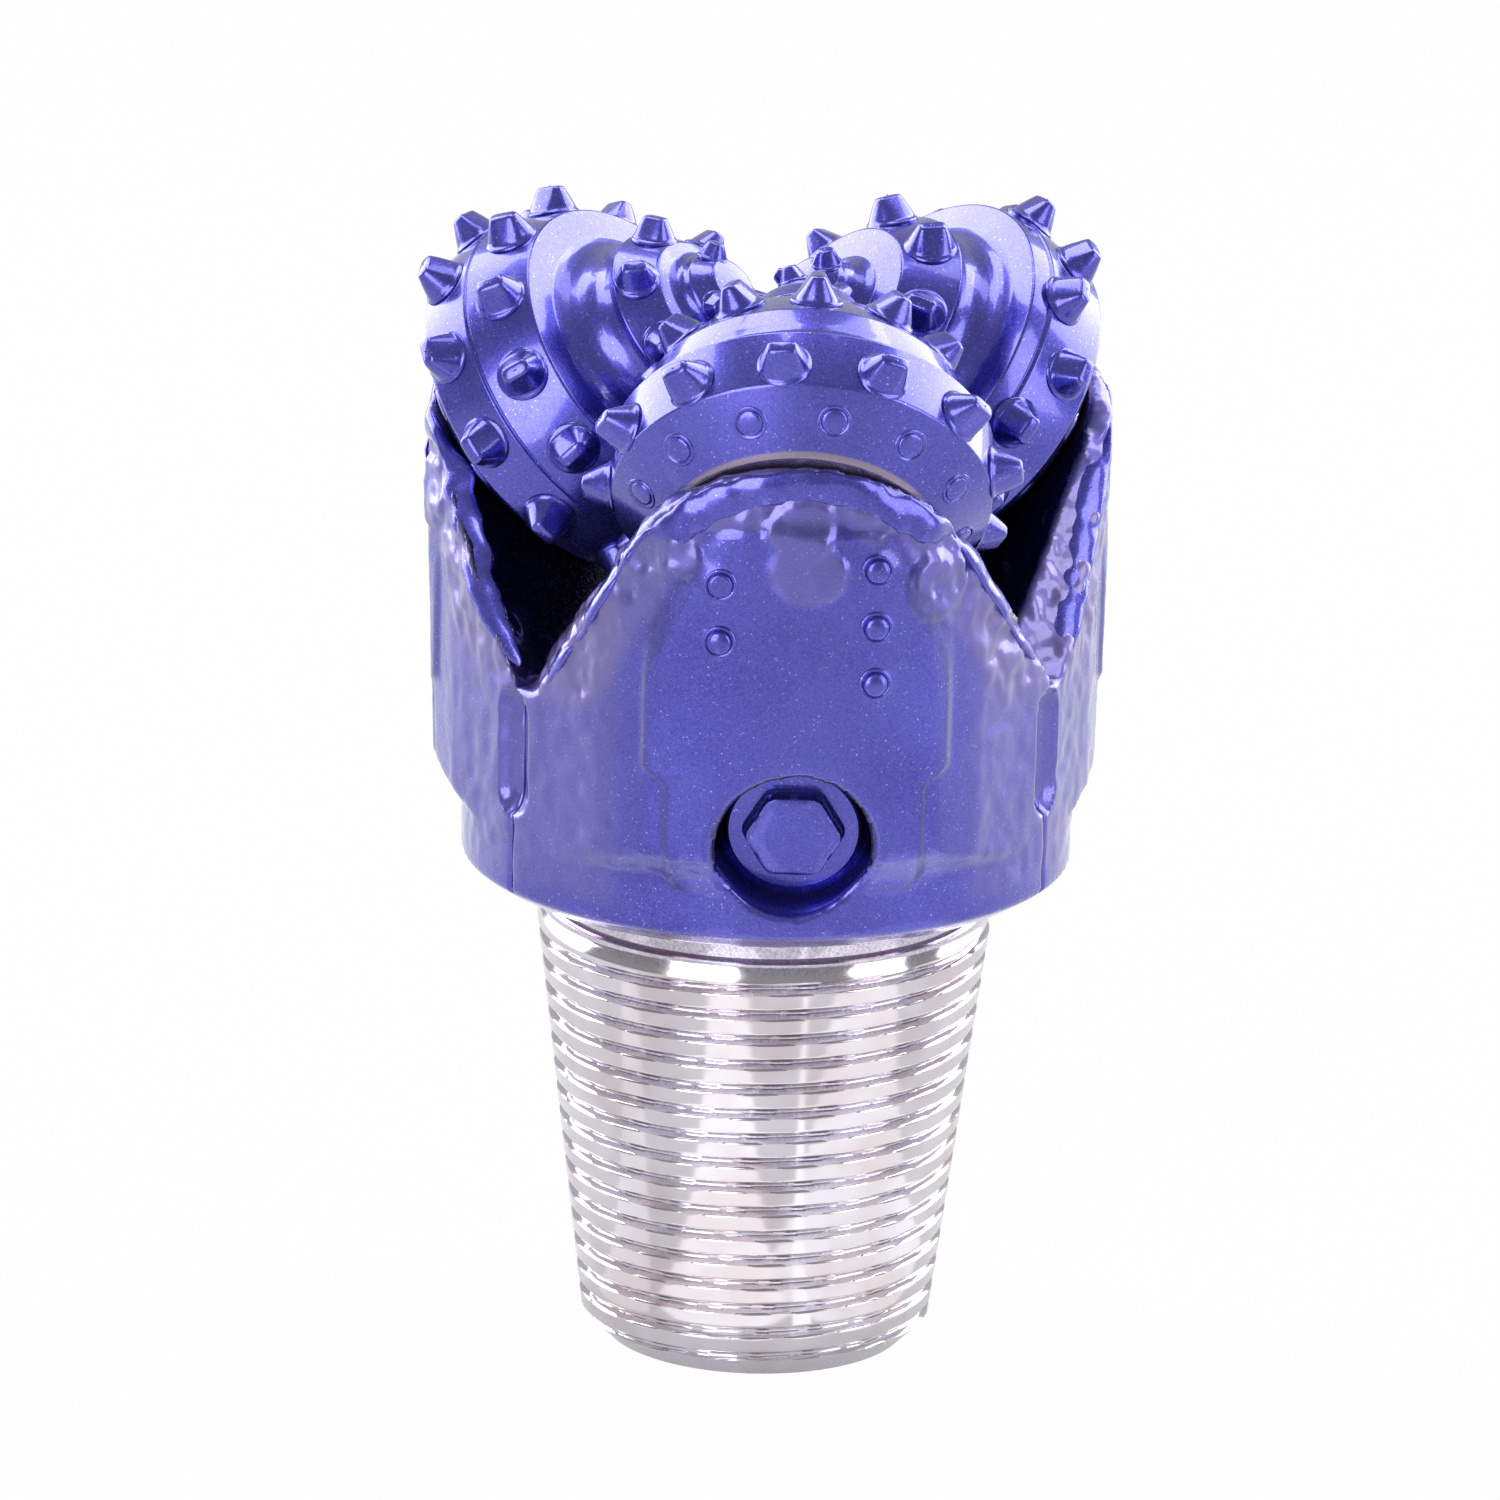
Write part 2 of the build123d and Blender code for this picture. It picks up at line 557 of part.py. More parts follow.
def retaining_balls():
    return [Rot(0, 0, a) * Pos(JOURNAL_RADIUS, 0, BALL_T) * Sphere(BALL_RADIUS)
            for a in ring_places(BALL_COUNT, 0)]


# ---- reservoir pieces, along the pocket axis ----
def reservoir_cap():
    rim = rod(RESERVOIR_RADIUS - RUNNING_CLEARANCE, CUP_MOUTH, CAP_FACE)
    boss = extrude(Pos(0, 0, CAP_FACE) * RegularPolygon(CAP_HEX / 2, 6, major_radius=False), CAP_HEX_HEIGHT)
    vent = rod(CAP_VENT_DIAMETER / 2, CUP_MOUTH - 1, CAP_FACE + CAP_HEX_HEIGHT + 1)
    boss = chamfer(boss.faces().sort_by(Axis.Z)[-1].edges(), CAP_RIM)
    return rim + boss - vent


def snap_ring():
    low = CAP_FACE
    outer = RESERVOIR_RADIUS + SNAP_RING_BITE
    ring = tube(outer, outer - SNAP_RING_WIDTH, low, low + SNAP_RING_THICKNESS)
    gap = Pos(0, -outer, low) * Box(SNAP_RING_GAP, 3 * SNAP_RING_WIDTH, 3 * SNAP_RING_THICKNESS)
    return ring - gap


def diaphragm():
    """Flange clamped under the cap, with a cup-shaped membrane behind it."""
    flange_low = CUP_MOUTH - DIAPHRAGM_WALL
    flange = rod(RESERVOIR_RADIUS - RUNNING_CLEARANCE, flange_low, CUP_MOUTH)
    membrane = rod(DIAPHRAGM_RADIUS, flange_low - DIAPHRAGM_DEPTH, flange_low)
    hollow = rod(DIAPHRAGM_RADIUS - DIAPHRAGM_WALL, flange_low - DIAPHRAGM_DEPTH + DIAPHRAGM_WALL,
                 CUP_MOUTH)
    return flange + membrane - hollow


def reservoir_cup():
    outer = RESERVOIR_RADIUS - RUNNING_CLEARANCE
    rim = CUP_MOUTH - DIAPHRAGM_WALL
    shell = rod(outer, RESERVOIR_FLOOR, rim) - rod(outer - CUP_WALL, RESERVOIR_FLOOR + CUP_WALL, rim + 1)
    shell = shell - rod(GREASE_HOLE_DIAMETER / 2, RESERVOIR_FLOOR - 1, RESERVOIR_FLOOR + 2 * CUP_WALL)
    port = POCKET.to_local_coords(grease_hole())
    return shell - port


def leg_buttons():
    return [p * domed_button(LEG_BUTTON_DIAMETER, LEG_BUTTON_GRIP, LEG_BUTTON_RISE)
            for p in leg_button_places()]


# ---- nozzle pieces, on the bit axis ----
def nozzle_bottom():
    return CROWN_HEIGHT - 2 * NOZZLE_RING_THICKNESS - NOZZLE_LENGTH


def nozzle():
    low = nozzle_bottom()
    high = low + NOZZLE_LENGTH
    outer = NOZZLE_RADIUS - RUNNING_CLEARANCE
    mid = (low + high) / 2
    flow = turned((
        (0, low - 1), (NOZZLE_RADIUS - 2, low - 1), (NOZZLE_RADIUS - 2, low),
        (NOZZLE_ORIFICE_RADIUS, mid), (NOZZLE_ORIFICE_RADIUS, high + 1), (0, high + 1),
    ))
    groove = tube(outer + 1, outer - NOZZLE_SEAL_SECTION + RUNNING_CLEARANCE,
                  mid - NOZZLE_SEAL_SECTION / 2, mid + NOZZLE_SEAL_SECTION / 2)
    return rod(outer, low, high) - flow - groove


def nozzle_seal():
    r = NOZZLE_SEAL_SECTION / 2
    return Pos(0, 0, nozzle_bottom() + NOZZLE_LENGTH / 2) * Torus(NOZZLE_RADIUS - r, r)


def nozzle_ring():
    low = nozzle_bottom() + NOZZLE_LENGTH
    outer = NOZZLE_RADIUS + NOZZLE_RING_BITE
    return tube(outer, NOZZLE_ORIFICE_RADIUS + 1.6, low, low + NOZZLE_RING_THICKNESS)


# ---- writing the nodes ----
def write(shape, name):
    """One STEP file for a node; a list becomes one node of separate solids."""
    solids = Compound(children=list(shape)) if isinstance(shape, list) else shape
    export_step(solids, f"parts/{name}.step")


def main():
    os.makedirs("parts", exist_ok=True)
    leg, plug = leg_and_plug()
    bearing = {"journal_bush": journal_bush(), "nose_bush": nose_bush(),
               "thrust_washer": thrust_washer(), "seal_ring": seal_ring(),
               "retaining_balls": retaining_balls()}
    reservoir = {"reservoir_cap": reservoir_cap(), "snap_ring": snap_ring(),
                 "diaphragm": diaphragm(), "reservoir_cup": reservoir_cup()}
    fixed = {"leg": leg, "ball_plug": plug, "leg_buttons": leg_buttons()}
    for k in range(LEG_COUNT):
        groups = ((fixed, Location()), ({**bearing, **cutter(CONES[k])}, AXIS_T.location),
                  (reservoir, POCKET.location))
        for pieces, place in groups:
            for name, shape in pieces.items():
                moved = [on_leg(place * s, k) for s in (shape if isinstance(shape, list) else [shape])]
                write(moved if isinstance(shape, list) else moved[0], f"{name}_{k + 1}")
    write(nozzle(), "center_nozzle")
    write(nozzle_seal(), "nozzle_seal")
    write(nozzle_ring(), "nozzle_ring")


main()
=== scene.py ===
import json
import math

import bmesh
import bpy
import numpy as np
from bpy.props import FloatProperty, FloatVectorProperty, PointerProperty
from mathutils import Matrix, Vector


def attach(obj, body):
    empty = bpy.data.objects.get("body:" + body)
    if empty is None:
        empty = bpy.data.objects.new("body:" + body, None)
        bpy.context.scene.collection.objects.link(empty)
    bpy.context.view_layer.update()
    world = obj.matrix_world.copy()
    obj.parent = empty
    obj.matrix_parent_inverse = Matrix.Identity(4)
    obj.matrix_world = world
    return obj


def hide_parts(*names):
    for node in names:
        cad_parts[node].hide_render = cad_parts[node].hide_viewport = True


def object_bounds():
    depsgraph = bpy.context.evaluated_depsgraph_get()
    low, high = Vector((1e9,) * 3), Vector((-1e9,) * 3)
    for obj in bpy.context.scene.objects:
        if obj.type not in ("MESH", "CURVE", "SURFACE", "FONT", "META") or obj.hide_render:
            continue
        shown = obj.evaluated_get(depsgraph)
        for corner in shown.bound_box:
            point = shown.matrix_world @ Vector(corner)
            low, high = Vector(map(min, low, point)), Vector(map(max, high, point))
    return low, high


bl_info = {
    "name": "Three-cone rock bit finish",
    "version": (1, 0, 0),
    "blender": (4, 5, 0),
    "location": "View3D > Sidebar > Rock bit",
    "description": "Painted forgings, turned cutters, carbide and machined thread for a rock bit",
    "category": "Object",
}

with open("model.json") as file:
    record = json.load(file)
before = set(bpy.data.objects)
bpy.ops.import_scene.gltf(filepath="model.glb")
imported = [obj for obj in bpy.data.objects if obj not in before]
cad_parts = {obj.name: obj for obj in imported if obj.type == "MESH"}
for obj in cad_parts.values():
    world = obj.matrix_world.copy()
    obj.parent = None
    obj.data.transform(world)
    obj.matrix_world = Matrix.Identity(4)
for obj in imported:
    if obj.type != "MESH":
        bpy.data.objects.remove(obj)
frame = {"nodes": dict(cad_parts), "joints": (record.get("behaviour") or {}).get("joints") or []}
CAD_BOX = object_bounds()
MM = 0.001
LEGS = (1, 2, 3)
MICA_MM = 0.26
COLOUR_MIX = {"data_type": "RGBA"}   # then a Mix node's factor is input 0, its colours are 6 and 7


# ---------------------------------------------------------------- colours and materials

def linear(hex_colour):
    """The linear RGBA of an sRGB hex value."""
    srgb = np.array([int(hex_colour[i:i + 2], 16) for i in (1, 3, 5)]) / 255
    rgb = np.where(srgb <= 0.04045, srgb / 12.92, ((srgb + 0.055) / 1.055) ** 2.4)
    return (*(float(c) for c in rgb), 1.0)


def add(tree, kind, settings=None, inputs=None):
    """One node with its attributes set, and each input either linked or given a value."""
    node = tree.nodes.new(kind)
    for name, value in (settings or {}).items():
        setattr(node, name, value)
    for key, value in (inputs or {}).items():
        if isinstance(value, bpy.types.NodeSocket):
            tree.links.new(value, node.inputs[key])
        else:
            node.inputs[key].default_value = value
    return node


def new_material(name):
    """An empty node material with its output, its surface shader and the object coordinates."""
    material = bpy.data.materials.new(name)
    material.use_nodes = True
    tree = material.node_tree
    tree.nodes.clear()
    output = add(tree, "ShaderNodeOutputMaterial")
    shader = add(tree, "ShaderNodeBsdfPrincipled")
    tree.links.new(shader.outputs["BSDF"], output.inputs["Surface"])
    where = add(tree, "ShaderNodeTexCoord").outputs["Object"]
    return material, tree, shader, where


def per_metre(millimetres):
    """Texture scale whose features are about this many millimetres across."""
    return 1 / (millimetres * MM)


def enamel(name, texture_mm, texture_depth_mm, turned=None, forged=False):
    """Metallic enamel sprayed over steel: a deep violet-blue coat full of fine mica under a clear
    gloss, rubbed to a dull mauve where the attribute bare says so. The mica is drawn MICA_MM
    across, coarser than it is, so that its sparkle shows. forged adds painted shade, near-black
    with pale painted glints, in hollows, and the mauve, duller coat that dries on rough weld."""
    look = bpy.context.scene.bit_paint
    deep, light, mica = ((*colour, 1) for colour in (look.deep, look.light, look.mica))
    material, tree, shader, where = new_material(name)
    cloud = add(tree, "ShaderNodeTexNoise", {}, {"Vector": where, "Scale": per_metre(26), "Detail": 3})
    drift = add(tree, "ShaderNodeMapRange", {},
                {"Value": cloud.outputs["Fac"], "From Min": 0.35, "From Max": 0.65})
    body = add(tree, "ShaderNodeMix", COLOUR_MIX, {0: drift.outputs[0], 6: deep, 7: light})
    flakes = add(tree, "ShaderNodeTexVoronoi", {}, {"Vector": where, "Scale": per_metre(MICA_MM)})
    spark = add(tree, "ShaderNodeSeparateColor", {}, {"Color": flakes.outputs["Color"]})
    shimmer = add(tree, "ShaderNodeMapRange", {}, {"Value": spark.outputs[0], "To Max": 0.22})
    body = add(tree, "ShaderNodeMix", COLOUR_MIX, {0: shimmer.outputs[0], 6: body.outputs[2], 7: mica})
    glint = add(tree, "ShaderNodeMapRange", {},
                {"Value": spark.outputs[1], "From Min": 0.985, "From Max": 0.999})
    body = add(tree, "ShaderNodeMix", COLOUR_MIX,
               {0: glint.outputs[0], 6: body.outputs[2], 7: linear("#9F9CDD")})
    rough = add(tree, "ShaderNodeMapRange", {}, {"Value": spark.outputs[2], "To Min": 0.24, "To Max": 0.36})
    if forged:
        dull = add(tree, "ShaderNodeAttribute", {"attribute_name": "dull"}).outputs["Fac"]
        body = add(tree, "ShaderNodeMix", COLOUR_MIX, {0: dull, 6: body.outputs[2], 7: linear("#786FA8")})
        rough = add(tree, "ShaderNodeMath", {"operation": "MULTIPLY_ADD"},
                    {0: dull, 1: 0.16, 2: rough.outputs[0]})
        # Painted shade: near-black where the leg's shade attribute is 1, with a few pale painted glints.
        dark = add(tree, "ShaderNodeAttribute", {"attribute_name": "painted_shade"}).outputs["Fac"]
        shade_glints = add(tree, "ShaderNodeMapRange", {},
                   {"Value": spark.outputs[2], "From Min": 0.95, "From Max": 0.99})
        black = add(tree, "ShaderNodeMix", COLOUR_MIX,
                    {0: shade_glints.outputs[0], 6: linear("#1D1B3C"), 7: linear("#5650C4")})
        body = add(tree, "ShaderNodeMix", COLOUR_MIX, {0: dark, 6: body.outputs[2], 7: black.outputs[2]})
    bare = add(tree, "ShaderNodeAttribute", {"attribute_name": "bare"}).outputs["Fac"]
    body = add(tree, "ShaderNodeMix", COLOUR_MIX, {0: bare, 6: body.outputs[2], 7: linear("#94869A")})
    tree.links.new(body.outputs[2], shader.inputs["Base Color"])
    tree.links.new(rough.outputs[0], shader.inputs["Roughness"])
    shader.inputs["Metallic"].default_value = 0.9
    shader.inputs["Coat Weight"].default_value = 1.0
    shader.inputs["Coat Roughness"].default_value = 0.08
    grain = add(tree, "ShaderNodeTexNoise", {},
                {"Vector": where, "Scale": per_metre(texture_mm), "Detail": 4})
    skin = add(tree, "ShaderNodeBump", {}, {"Height": grain.outputs["Fac"], "Strength": 1.0,
                                            "Distance": texture_depth_mm * MM}).outputs["Normal"]
    if turned is not None:
        skin = tool_marks(tree, where, skin, turned)
    tree.links.new(skin, shader.inputs["Normal"])
    return material


def tool_marks(tree, where, normal, axis):
    """Rings left by turning, 0.6 mm apart, square to the axis given as (point, direction)."""
    point, direction = axis
    turn = direction_matrix(direction).transposed().to_euler()
    shifted = add(tree, "ShaderNodeVectorMath", {"operation": "SUBTRACT"}, {0: where, 1: tuple(point)})
    along = add(tree, "ShaderNodeMapping", {}, {"Vector": shifted.outputs[0], "Rotation": turn})
    rings = add(tree, "ShaderNodeTexWave", {"wave_type": "BANDS", "bands_direction": "Z"},
                {"Vector": along.outputs[0], "Scale": per_metre(0.6) / 20, "Distortion": 0.4})
    marks = add(tree, "ShaderNodeBump", {}, {"Height": rings.outputs["Fac"], "Strength": 0.35,
                                             "Distance": 0.01 * MM, "Normal": normal})
    return marks.outputs["Normal"]


def direction_matrix(direction):
    """Rotation that turns Z onto a direction."""
    z = np.array(direction) / np.linalg.norm(direction)
    x = np.cross((0, 0, 1), z)
    x = x / np.linalg.norm(x)
    return Matrix(np.stack((x, np.cross(z, x), z), axis=1).tolist())


def machined_steel():
    """Cut alloy steel: bright rings from the threading tool, faint violet overspray that gathers
    towards the body, and a little warm oil."""
    material, tree, shader, where = new_material("threaded_alloy_steel")
    rings = add(tree, "ShaderNodeTexWave", {"wave_type": "BANDS", "bands_direction": "Z"},
                {"Vector": where, "Scale": per_metre(0.35) / 20, "Distortion": 0.6, "Detail": 1})
    warm = add(tree, "ShaderNodeTexNoise", {}, {"Vector": where, "Scale": per_metre(16)}).outputs["Fac"]
    oil = add(tree, "ShaderNodeMapRange", {}, {"Value": warm, "From Min": 0.4, "From Max": 0.62})
    steel = add(tree, "ShaderNodeMix", COLOUR_MIX,
                {0: oil.outputs[0], 6: linear("#E3DFE5"), 7: linear("#D9D0D2")})
    spray = add(tree, "ShaderNodeAttribute", {"attribute_name": "overspray"}).outputs["Fac"]
    mist = add(tree, "ShaderNodeTexNoise", {}, {"Vector": where, "Scale": per_metre(0.5), "Detail": 2})
    specks = add(tree, "ShaderNodeMapRange", {},
                 {"Value": mist.outputs["Fac"], "From Min": 0.35, "From Max": 0.75})
    amount = add(tree, "ShaderNodeMath", {"operation": "MULTIPLY"}, {0: spray, 1: specks.outputs[0]})
    steel = add(tree, "ShaderNodeMix", COLOUR_MIX,
                {0: amount.outputs[0], 6: steel.outputs[2], 7: linear("#7F76B8")})
    gloss = add(tree, "ShaderNodeMapRange", {}, {"Value": warm, "To Min": 0.08, "To Max": 0.16})
    bump = add(tree, "ShaderNodeBump", {}, {"Height": rings.outputs["Fac"], "Strength": 0.2,
                                            "Distance": 0.004 * MM})
    tree.links.new(steel.outputs[2], shader.inputs["Base Color"])
    tree.links.new(gloss.outputs[0], shader.inputs["Roughness"])
    tree.links.new(bump.outputs["Normal"], shader.inputs["Normal"])
    shader.inputs["Metallic"].default_value = 1.0
    return material


def plain_metal(name, first, second, roughness):
    """Ground or plated metal: two close tones in a fine grain."""
    material, tree, shader, where = new_material(name)
    grain = add(tree, "ShaderNodeTexNoise", {}, {"Vector": where, "Scale": per_metre(0.8), "Detail": 3})
    grain = grain.outputs["Fac"]
    tone = add(tree, "ShaderNodeMix", COLOUR_MIX, {0: grain, 6: linear(first), 7: linear(second)})
    bump = add(tree, "ShaderNodeBump", {}, {"Height": grain, "Strength": 0.4, "Distance": 0.01 * MM})
    tree.links.new(tone.outputs[2], shader.inputs["Base Color"])
    tree.links.new(bump.outputs["Normal"], shader.inputs["Normal"])
    shader.inputs["Metallic"].default_value = 1.0
    shader.inputs["Roughness"].default_value = roughness
    return material


def nitrile():
    """Moulded nitrile rubber: matt black with a faint grain."""
    material, tree, shader, where = new_material("moulded_nitrile")
    grain = add(tree, "ShaderNodeTexNoise", {}, {"Vector": where, "Scale": per_metre(0.4)})
    tone = add(tree, "ShaderNodeMix", COLOUR_MIX,
               {0: grain.outputs["Fac"], 6: linear("#141414"), 7: linear("#242424")})
    tree.links.new(tone.outputs[2], shader.inputs["Base Color"])
    shader.inputs["Roughness"].default_value = 0.6
    return material


# ---------------------------------------------------------------- shapes

def smooth(low, high, x):
    """0 below low, 1 above high, with an S-shaped rise between."""
    s = np.clip((x - low) / (high - low), 0, 1)
    return s * s * (3 - 2 * s)


def lattice(i, j, k, seed):
    """A repeatable number in -1..1 for each lattice corner, from integer hashing."""
    h = (i.astype(np.uint32) * np.uint32(374761393) + j.astype(np.uint32) * np.uint32(668265263)
         + k.astype(np.uint32) * np.uint32(2246822519) + np.uint32(seed * 3266489917 % 2 ** 32))
    h = (h ^ (h >> np.uint32(13))) * np.uint32(1274126177)
    h = h ^ (h >> np.uint32(16))
    return (h % np.uint32(65536)).astype(float) / 32767.5 - 1


def lumps(points, size, seed):
    """Smooth noise in -1..1: random corner values of a cubic lattice, blended by S-curves."""
    p = points / size + 1000
    base = np.floor(p).astype(np.int64)
    f = p - base
    f = f * f * (3 - 2 * f)
    total = 0
    for dx in (0, 1):
        for dy in (0, 1):
            for dz in (0, 1):
                weight = (np.where(dx, f[:, 0], 1 - f[:, 0]) * np.where(dy, f[:, 1], 1 - f[:, 1])
                          * np.where(dz, f[:, 2], 1 - f[:, 2]))
                total = total + weight * lattice(base[:, 0] + dx, base[:, 1] + dy, base[:, 2] + dz, seed)
    return total


def linked(name, data):
    """A new object in the scene."""
    thing = bpy.data.objects.new(name, data)
    bpy.context.scene.collection.objects.link(thing)
    return thing


def mesh_object(name, points, faces, crease):
    """Object from points in millimetres and faces, doubles merged, normals outwards."""
    mesh = bpy.data.meshes.new(name)
    mesh.from_pydata((points * MM).tolist(), [], faces.tolist())
    work = bmesh.new()
    work.from_mesh(mesh)
    bmesh.ops.remove_doubles(work, verts=work.verts, dist=2e-6)
    bmesh.ops.dissolve_degenerate(work, edges=work.edges, dist=1e-7)
    bmesh.ops.recalc_face_normals(work, faces=work.faces)
    work.to_mesh(mesh)
    work.free()
    mesh.shade_smooth()
    mesh.set_sharp_from_angle(angle=math.radians(crease))
    return linked(name, mesh)


def coordinates(mesh):
    """A mesh's points, in millimetres."""
    flat = np.empty(len(mesh.vertices) * 3, np.float32)
    mesh.vertices.foreach_get("co", flat)
    return flat.reshape(-1, 3).astype(float) / MM


def normals(mesh):
    """A mesh's normals at its points."""
    flat = np.empty(len(mesh.vertices) * 3, np.float32)
    mesh.vertex_normals.foreach_get("vector", flat)
    return flat.reshape(-1, 3).astype(float)


def move_points(mesh, points):
    """Put a mesh's points at these places, in millimetres."""
    mesh.vertices.foreach_set("co", (points * MM).astype(np.float32).ravel())
    mesh.update()


def set_values(mesh, name, values):
    """A number for each point, which a material reads by its name."""
    mesh.attributes.new(name, "FLOAT", "POINT").data.foreach_set("value", values.astype(np.float32))


def boxed(piece):
    """The piece with its points held inside the CAD box."""
    low, high = (np.array(corner) / MM for corner in CAD_BOX)
    move_points(piece.data, np.clip(coordinates(piece.data), low, high))
    return piece


def grid_faces(rows, columns, close_rows, close_columns=True):
    """Quads between neighbours of a grid whose columns, and maybe rows, close on themselves."""
    i = np.arange(rows if close_rows else rows - 1)
    j = np.arange(columns if close_columns else columns - 1)
    i, j = np.meshgrid(i, j, indexing="ij")
    a, b = i.ravel(), j.ravel()
    c, d = (a + 1) % rows, (b + 1) % columns
    return np.stack((a * columns + b, a * columns + d, c * columns + d, c * columns + b), axis=1)


def revolved(profile, columns):
    """Points of a surface of revolution about Z: each (radius, height) turned through a circle."""
    profile = np.array(profile, float)
    angle = np.linspace(0, 2 * math.pi, columns, endpoint=False)
    x = profile[:, :1] * np.cos(angle)
    y = profile[:, :1] * np.sin(angle)
    z = np.repeat(profile[:, 1:], columns, axis=1)
    return np.stack((x, y, z), axis=2)


def arc(first, middle, last, steps=9):
    """Points on the circle through three points, from the first to the last."""
    a, b, c = (complex(*p) for p in (first, middle, last))
    w = (c - a) / (b - a)
    centre = a + (b - a) * (w - abs(w) ** 2) / (2j * w.imag)
    spoke = [p - centre for p in (a, b, c)]
    sweep = [np.angle(q / spoke[0]) for q in spoke[1:]]
    if not 0 < sweep[0] / sweep[1] < 1:
        sweep[1] -= math.copysign(2 * math.pi, sweep[1])
    turned = spoke[0] * np.exp(1j * np.linspace(0, sweep[1], steps)) + centre
    return [(q.real, q.imag) for q in turned]


def rounded(points, radius, steps=4):
    """Outline with each inner corner replaced by a parabola that starts radius before it."""
    points = np.array(points, float)
    out = [points[:1]]
    for before, corner, after in zip(points[:-2], points[1:-1], points[2:]):
        back, on = before - corner, after - corner
        cut = min(radius, 0.45 * np.linalg.norm(back), 0.45 * np.linalg.norm(on))
        start = corner + back / np.linalg.norm(back) * cut
        end = corner + on / np.linalg.norm(on) * cut
        s = np.linspace(0, 1, steps + 1)[:, None]
        out.append((1 - s) ** 2 * start + 2 * s * (1 - s) * corner + s ** 2 * end)
    out.append(points[-1:])
    return np.concatenate(out)


def journal_frame(leg):
    """Origin in millimetres and axes (columns n, tangent, t) of a leg's journal, from its joint."""
    joint = next(j for j in frame["joints"] if j["name"] == f"cone_{leg}_spin")
    t = np.array(joint["axis"], float)
    n = np.array((0, 0, 1)) - t[2] * t
    n = n / np.linalg.norm(n)
    return np.array(joint["pos_m"], float) / MM, np.stack((n, np.cross(t, n), t), axis=1)


def leg_angle(leg):
    """Direction of a leg's panel about the bit axis, from its journal."""
    t = journal_frame(leg)[1][:, 2]
    return math.atan2(t[1], t[0])


def turned_about_z(points, angle):
    """Points turned about the bit axis."""
    c, s = math.cos(angle), math.sin(angle)
    return points @ np.array(((c, s, 0), (-s, c, 0), (0, 0, 1)))


def heading(angle):
    """Level unit vector at an angle about the bit axis."""
    return np.array((math.cos(angle), math.sin(angle), 0.0))


def stood(points, out, side=(0, 1, 0)):
    """Points turned so that X lies along side and Z along out, a unit vector square to it."""
    return points @ np.stack((side, np.cross(out, side), out))


# ---------------------------------------------------------------- cutters

def land(t1, r1, t2, r2):
    """A land of the cone's profile from (t1, r1) to (t2, r2), with its slope."""
    return (t1, r1), (t2, r2), math.atan2(r1 - r2, t1 - t2)


# Distances t along the journal from the apex and radii r, in millimetres, as the cutters are made.
# gauge holds (t, count, first angle), rows (land, t, count, first angle, diameter) and nose_row
# (t, r, count, first angle).
GAUGE_T, GAUGE_R, LAND_R, BACK_T = 55.8, 35.1, 35.3, 64.4
JOURNAL_ANGLE = math.radians(38.5)
BORE = ((19.0, 58.2), (16.9, 58.2), (16.9, 35.5), (11.8, 35.5), (11.8, 26.2), (0.0, 26.2))
CUTTERS = {
    1: {"lands": (land(34.6, 29.8, 26.4, 23.2), land(17.8, 12.4, 13.4, 10.0)), "gauge_end": 43.9,
        "step": ((43.2, 32.6), (40.6, 31.2), (38.6, 30.8)),
        "groove": ((26.0, 18.2), (22.4, 12.9), (18.7, 11.8)),
        "neck": ((13.0, 9.0), (12.0, 7.8), (11.0, 7.6)), "nose": ((7.4, 4.0), (6.8, 0.0)),
        "gauge": ((51.4, 12, 6.0),), "rows": ((0, 29.3, 11, -4.0, 9.5),), "nose_row": (9.2, 5.4, 3, 30.0)},
    2: {"lands": (land(41.4, 34.8, 37.8, 33.9), land(27.8, 24.9, 19.4, 17.0)), "gauge_end": 42.2,
        "step": ((41.9, 34.6), (41.6, 34.6)),
        "groove": ((37.5, 28.6), (33.4, 23.3), (28.6, 22.8)),
        "neck": ((19.2, 10.6), (16.0, 7.6), (12.8, 7.0)), "nose": ((10.2, 4.8), (9.6, 0.0)),
        "gauge": ((49.9, 8, 24.0), (44.9, 8, 46.5)), "rows": ((1, 23.7, 8, -17.5, 9.5),),
        "nose_row": (11.6, 5.4, 3, 20.0)},
    3: {"lands": (land(44.2, 35.0, 32.6, 30.0), land(21.6, 18.8, 15.2, 13.2)), "gauge_end": 44.9,
        "step": ((44.7, 34.8), (44.4, 34.8)),
        "groove": ((32.4, 24.0), (27.8, 18.0), (22.3, 17.2)),
        "neck": ((14.6, 10.4), (13.0, 8.6), (11.6, 8.4)), "nose": ((8.2, 5.4), (7.4, 0.0)),
        "gauge": ((51.0, 12, -33.0),), "rows": ((0, 38.0, 12, 9.0, 9.5), (1, 18.2, 7, -52.0, 8.2)),
        "nose_row": (10.0, 6.8, 3, 10.0)},
}


def cutter_outline(cutter):
    """(radius, t) outline: back face, heel, gauge land, lands and round grooves, nose, bore."""
    back_r = GAUGE_R - (BACK_T - GAUGE_T) / math.tan(JOURNAL_ANGLE)
    first, second = cutter["lands"]
    worn_t = BACK_T - 0.5
    worn = [(t, back_r + (BACK_T - t) / math.tan(JOURNAL_ANGLE)) for t in (worn_t, worn_t - 0.4)]
    outer = [(BACK_T, BORE[0][0]), (BACK_T, back_r), *worn, (GAUGE_T, GAUGE_R)]
    outer += [(cutter["gauge_end"], LAND_R), *cutter["step"], first[0], first[1], *arc(*cutter["groove"])]
    outer += [second[0], second[1], *arc(*cutter["neck"], 5), *cutter["nose"]]
    outline = rounded([(r, t) for t, r in outer], bpy.context.scene.bit_cutters.edge_mm)
    return np.concatenate((outline, np.array(BORE[::-1]), outline[:1]))


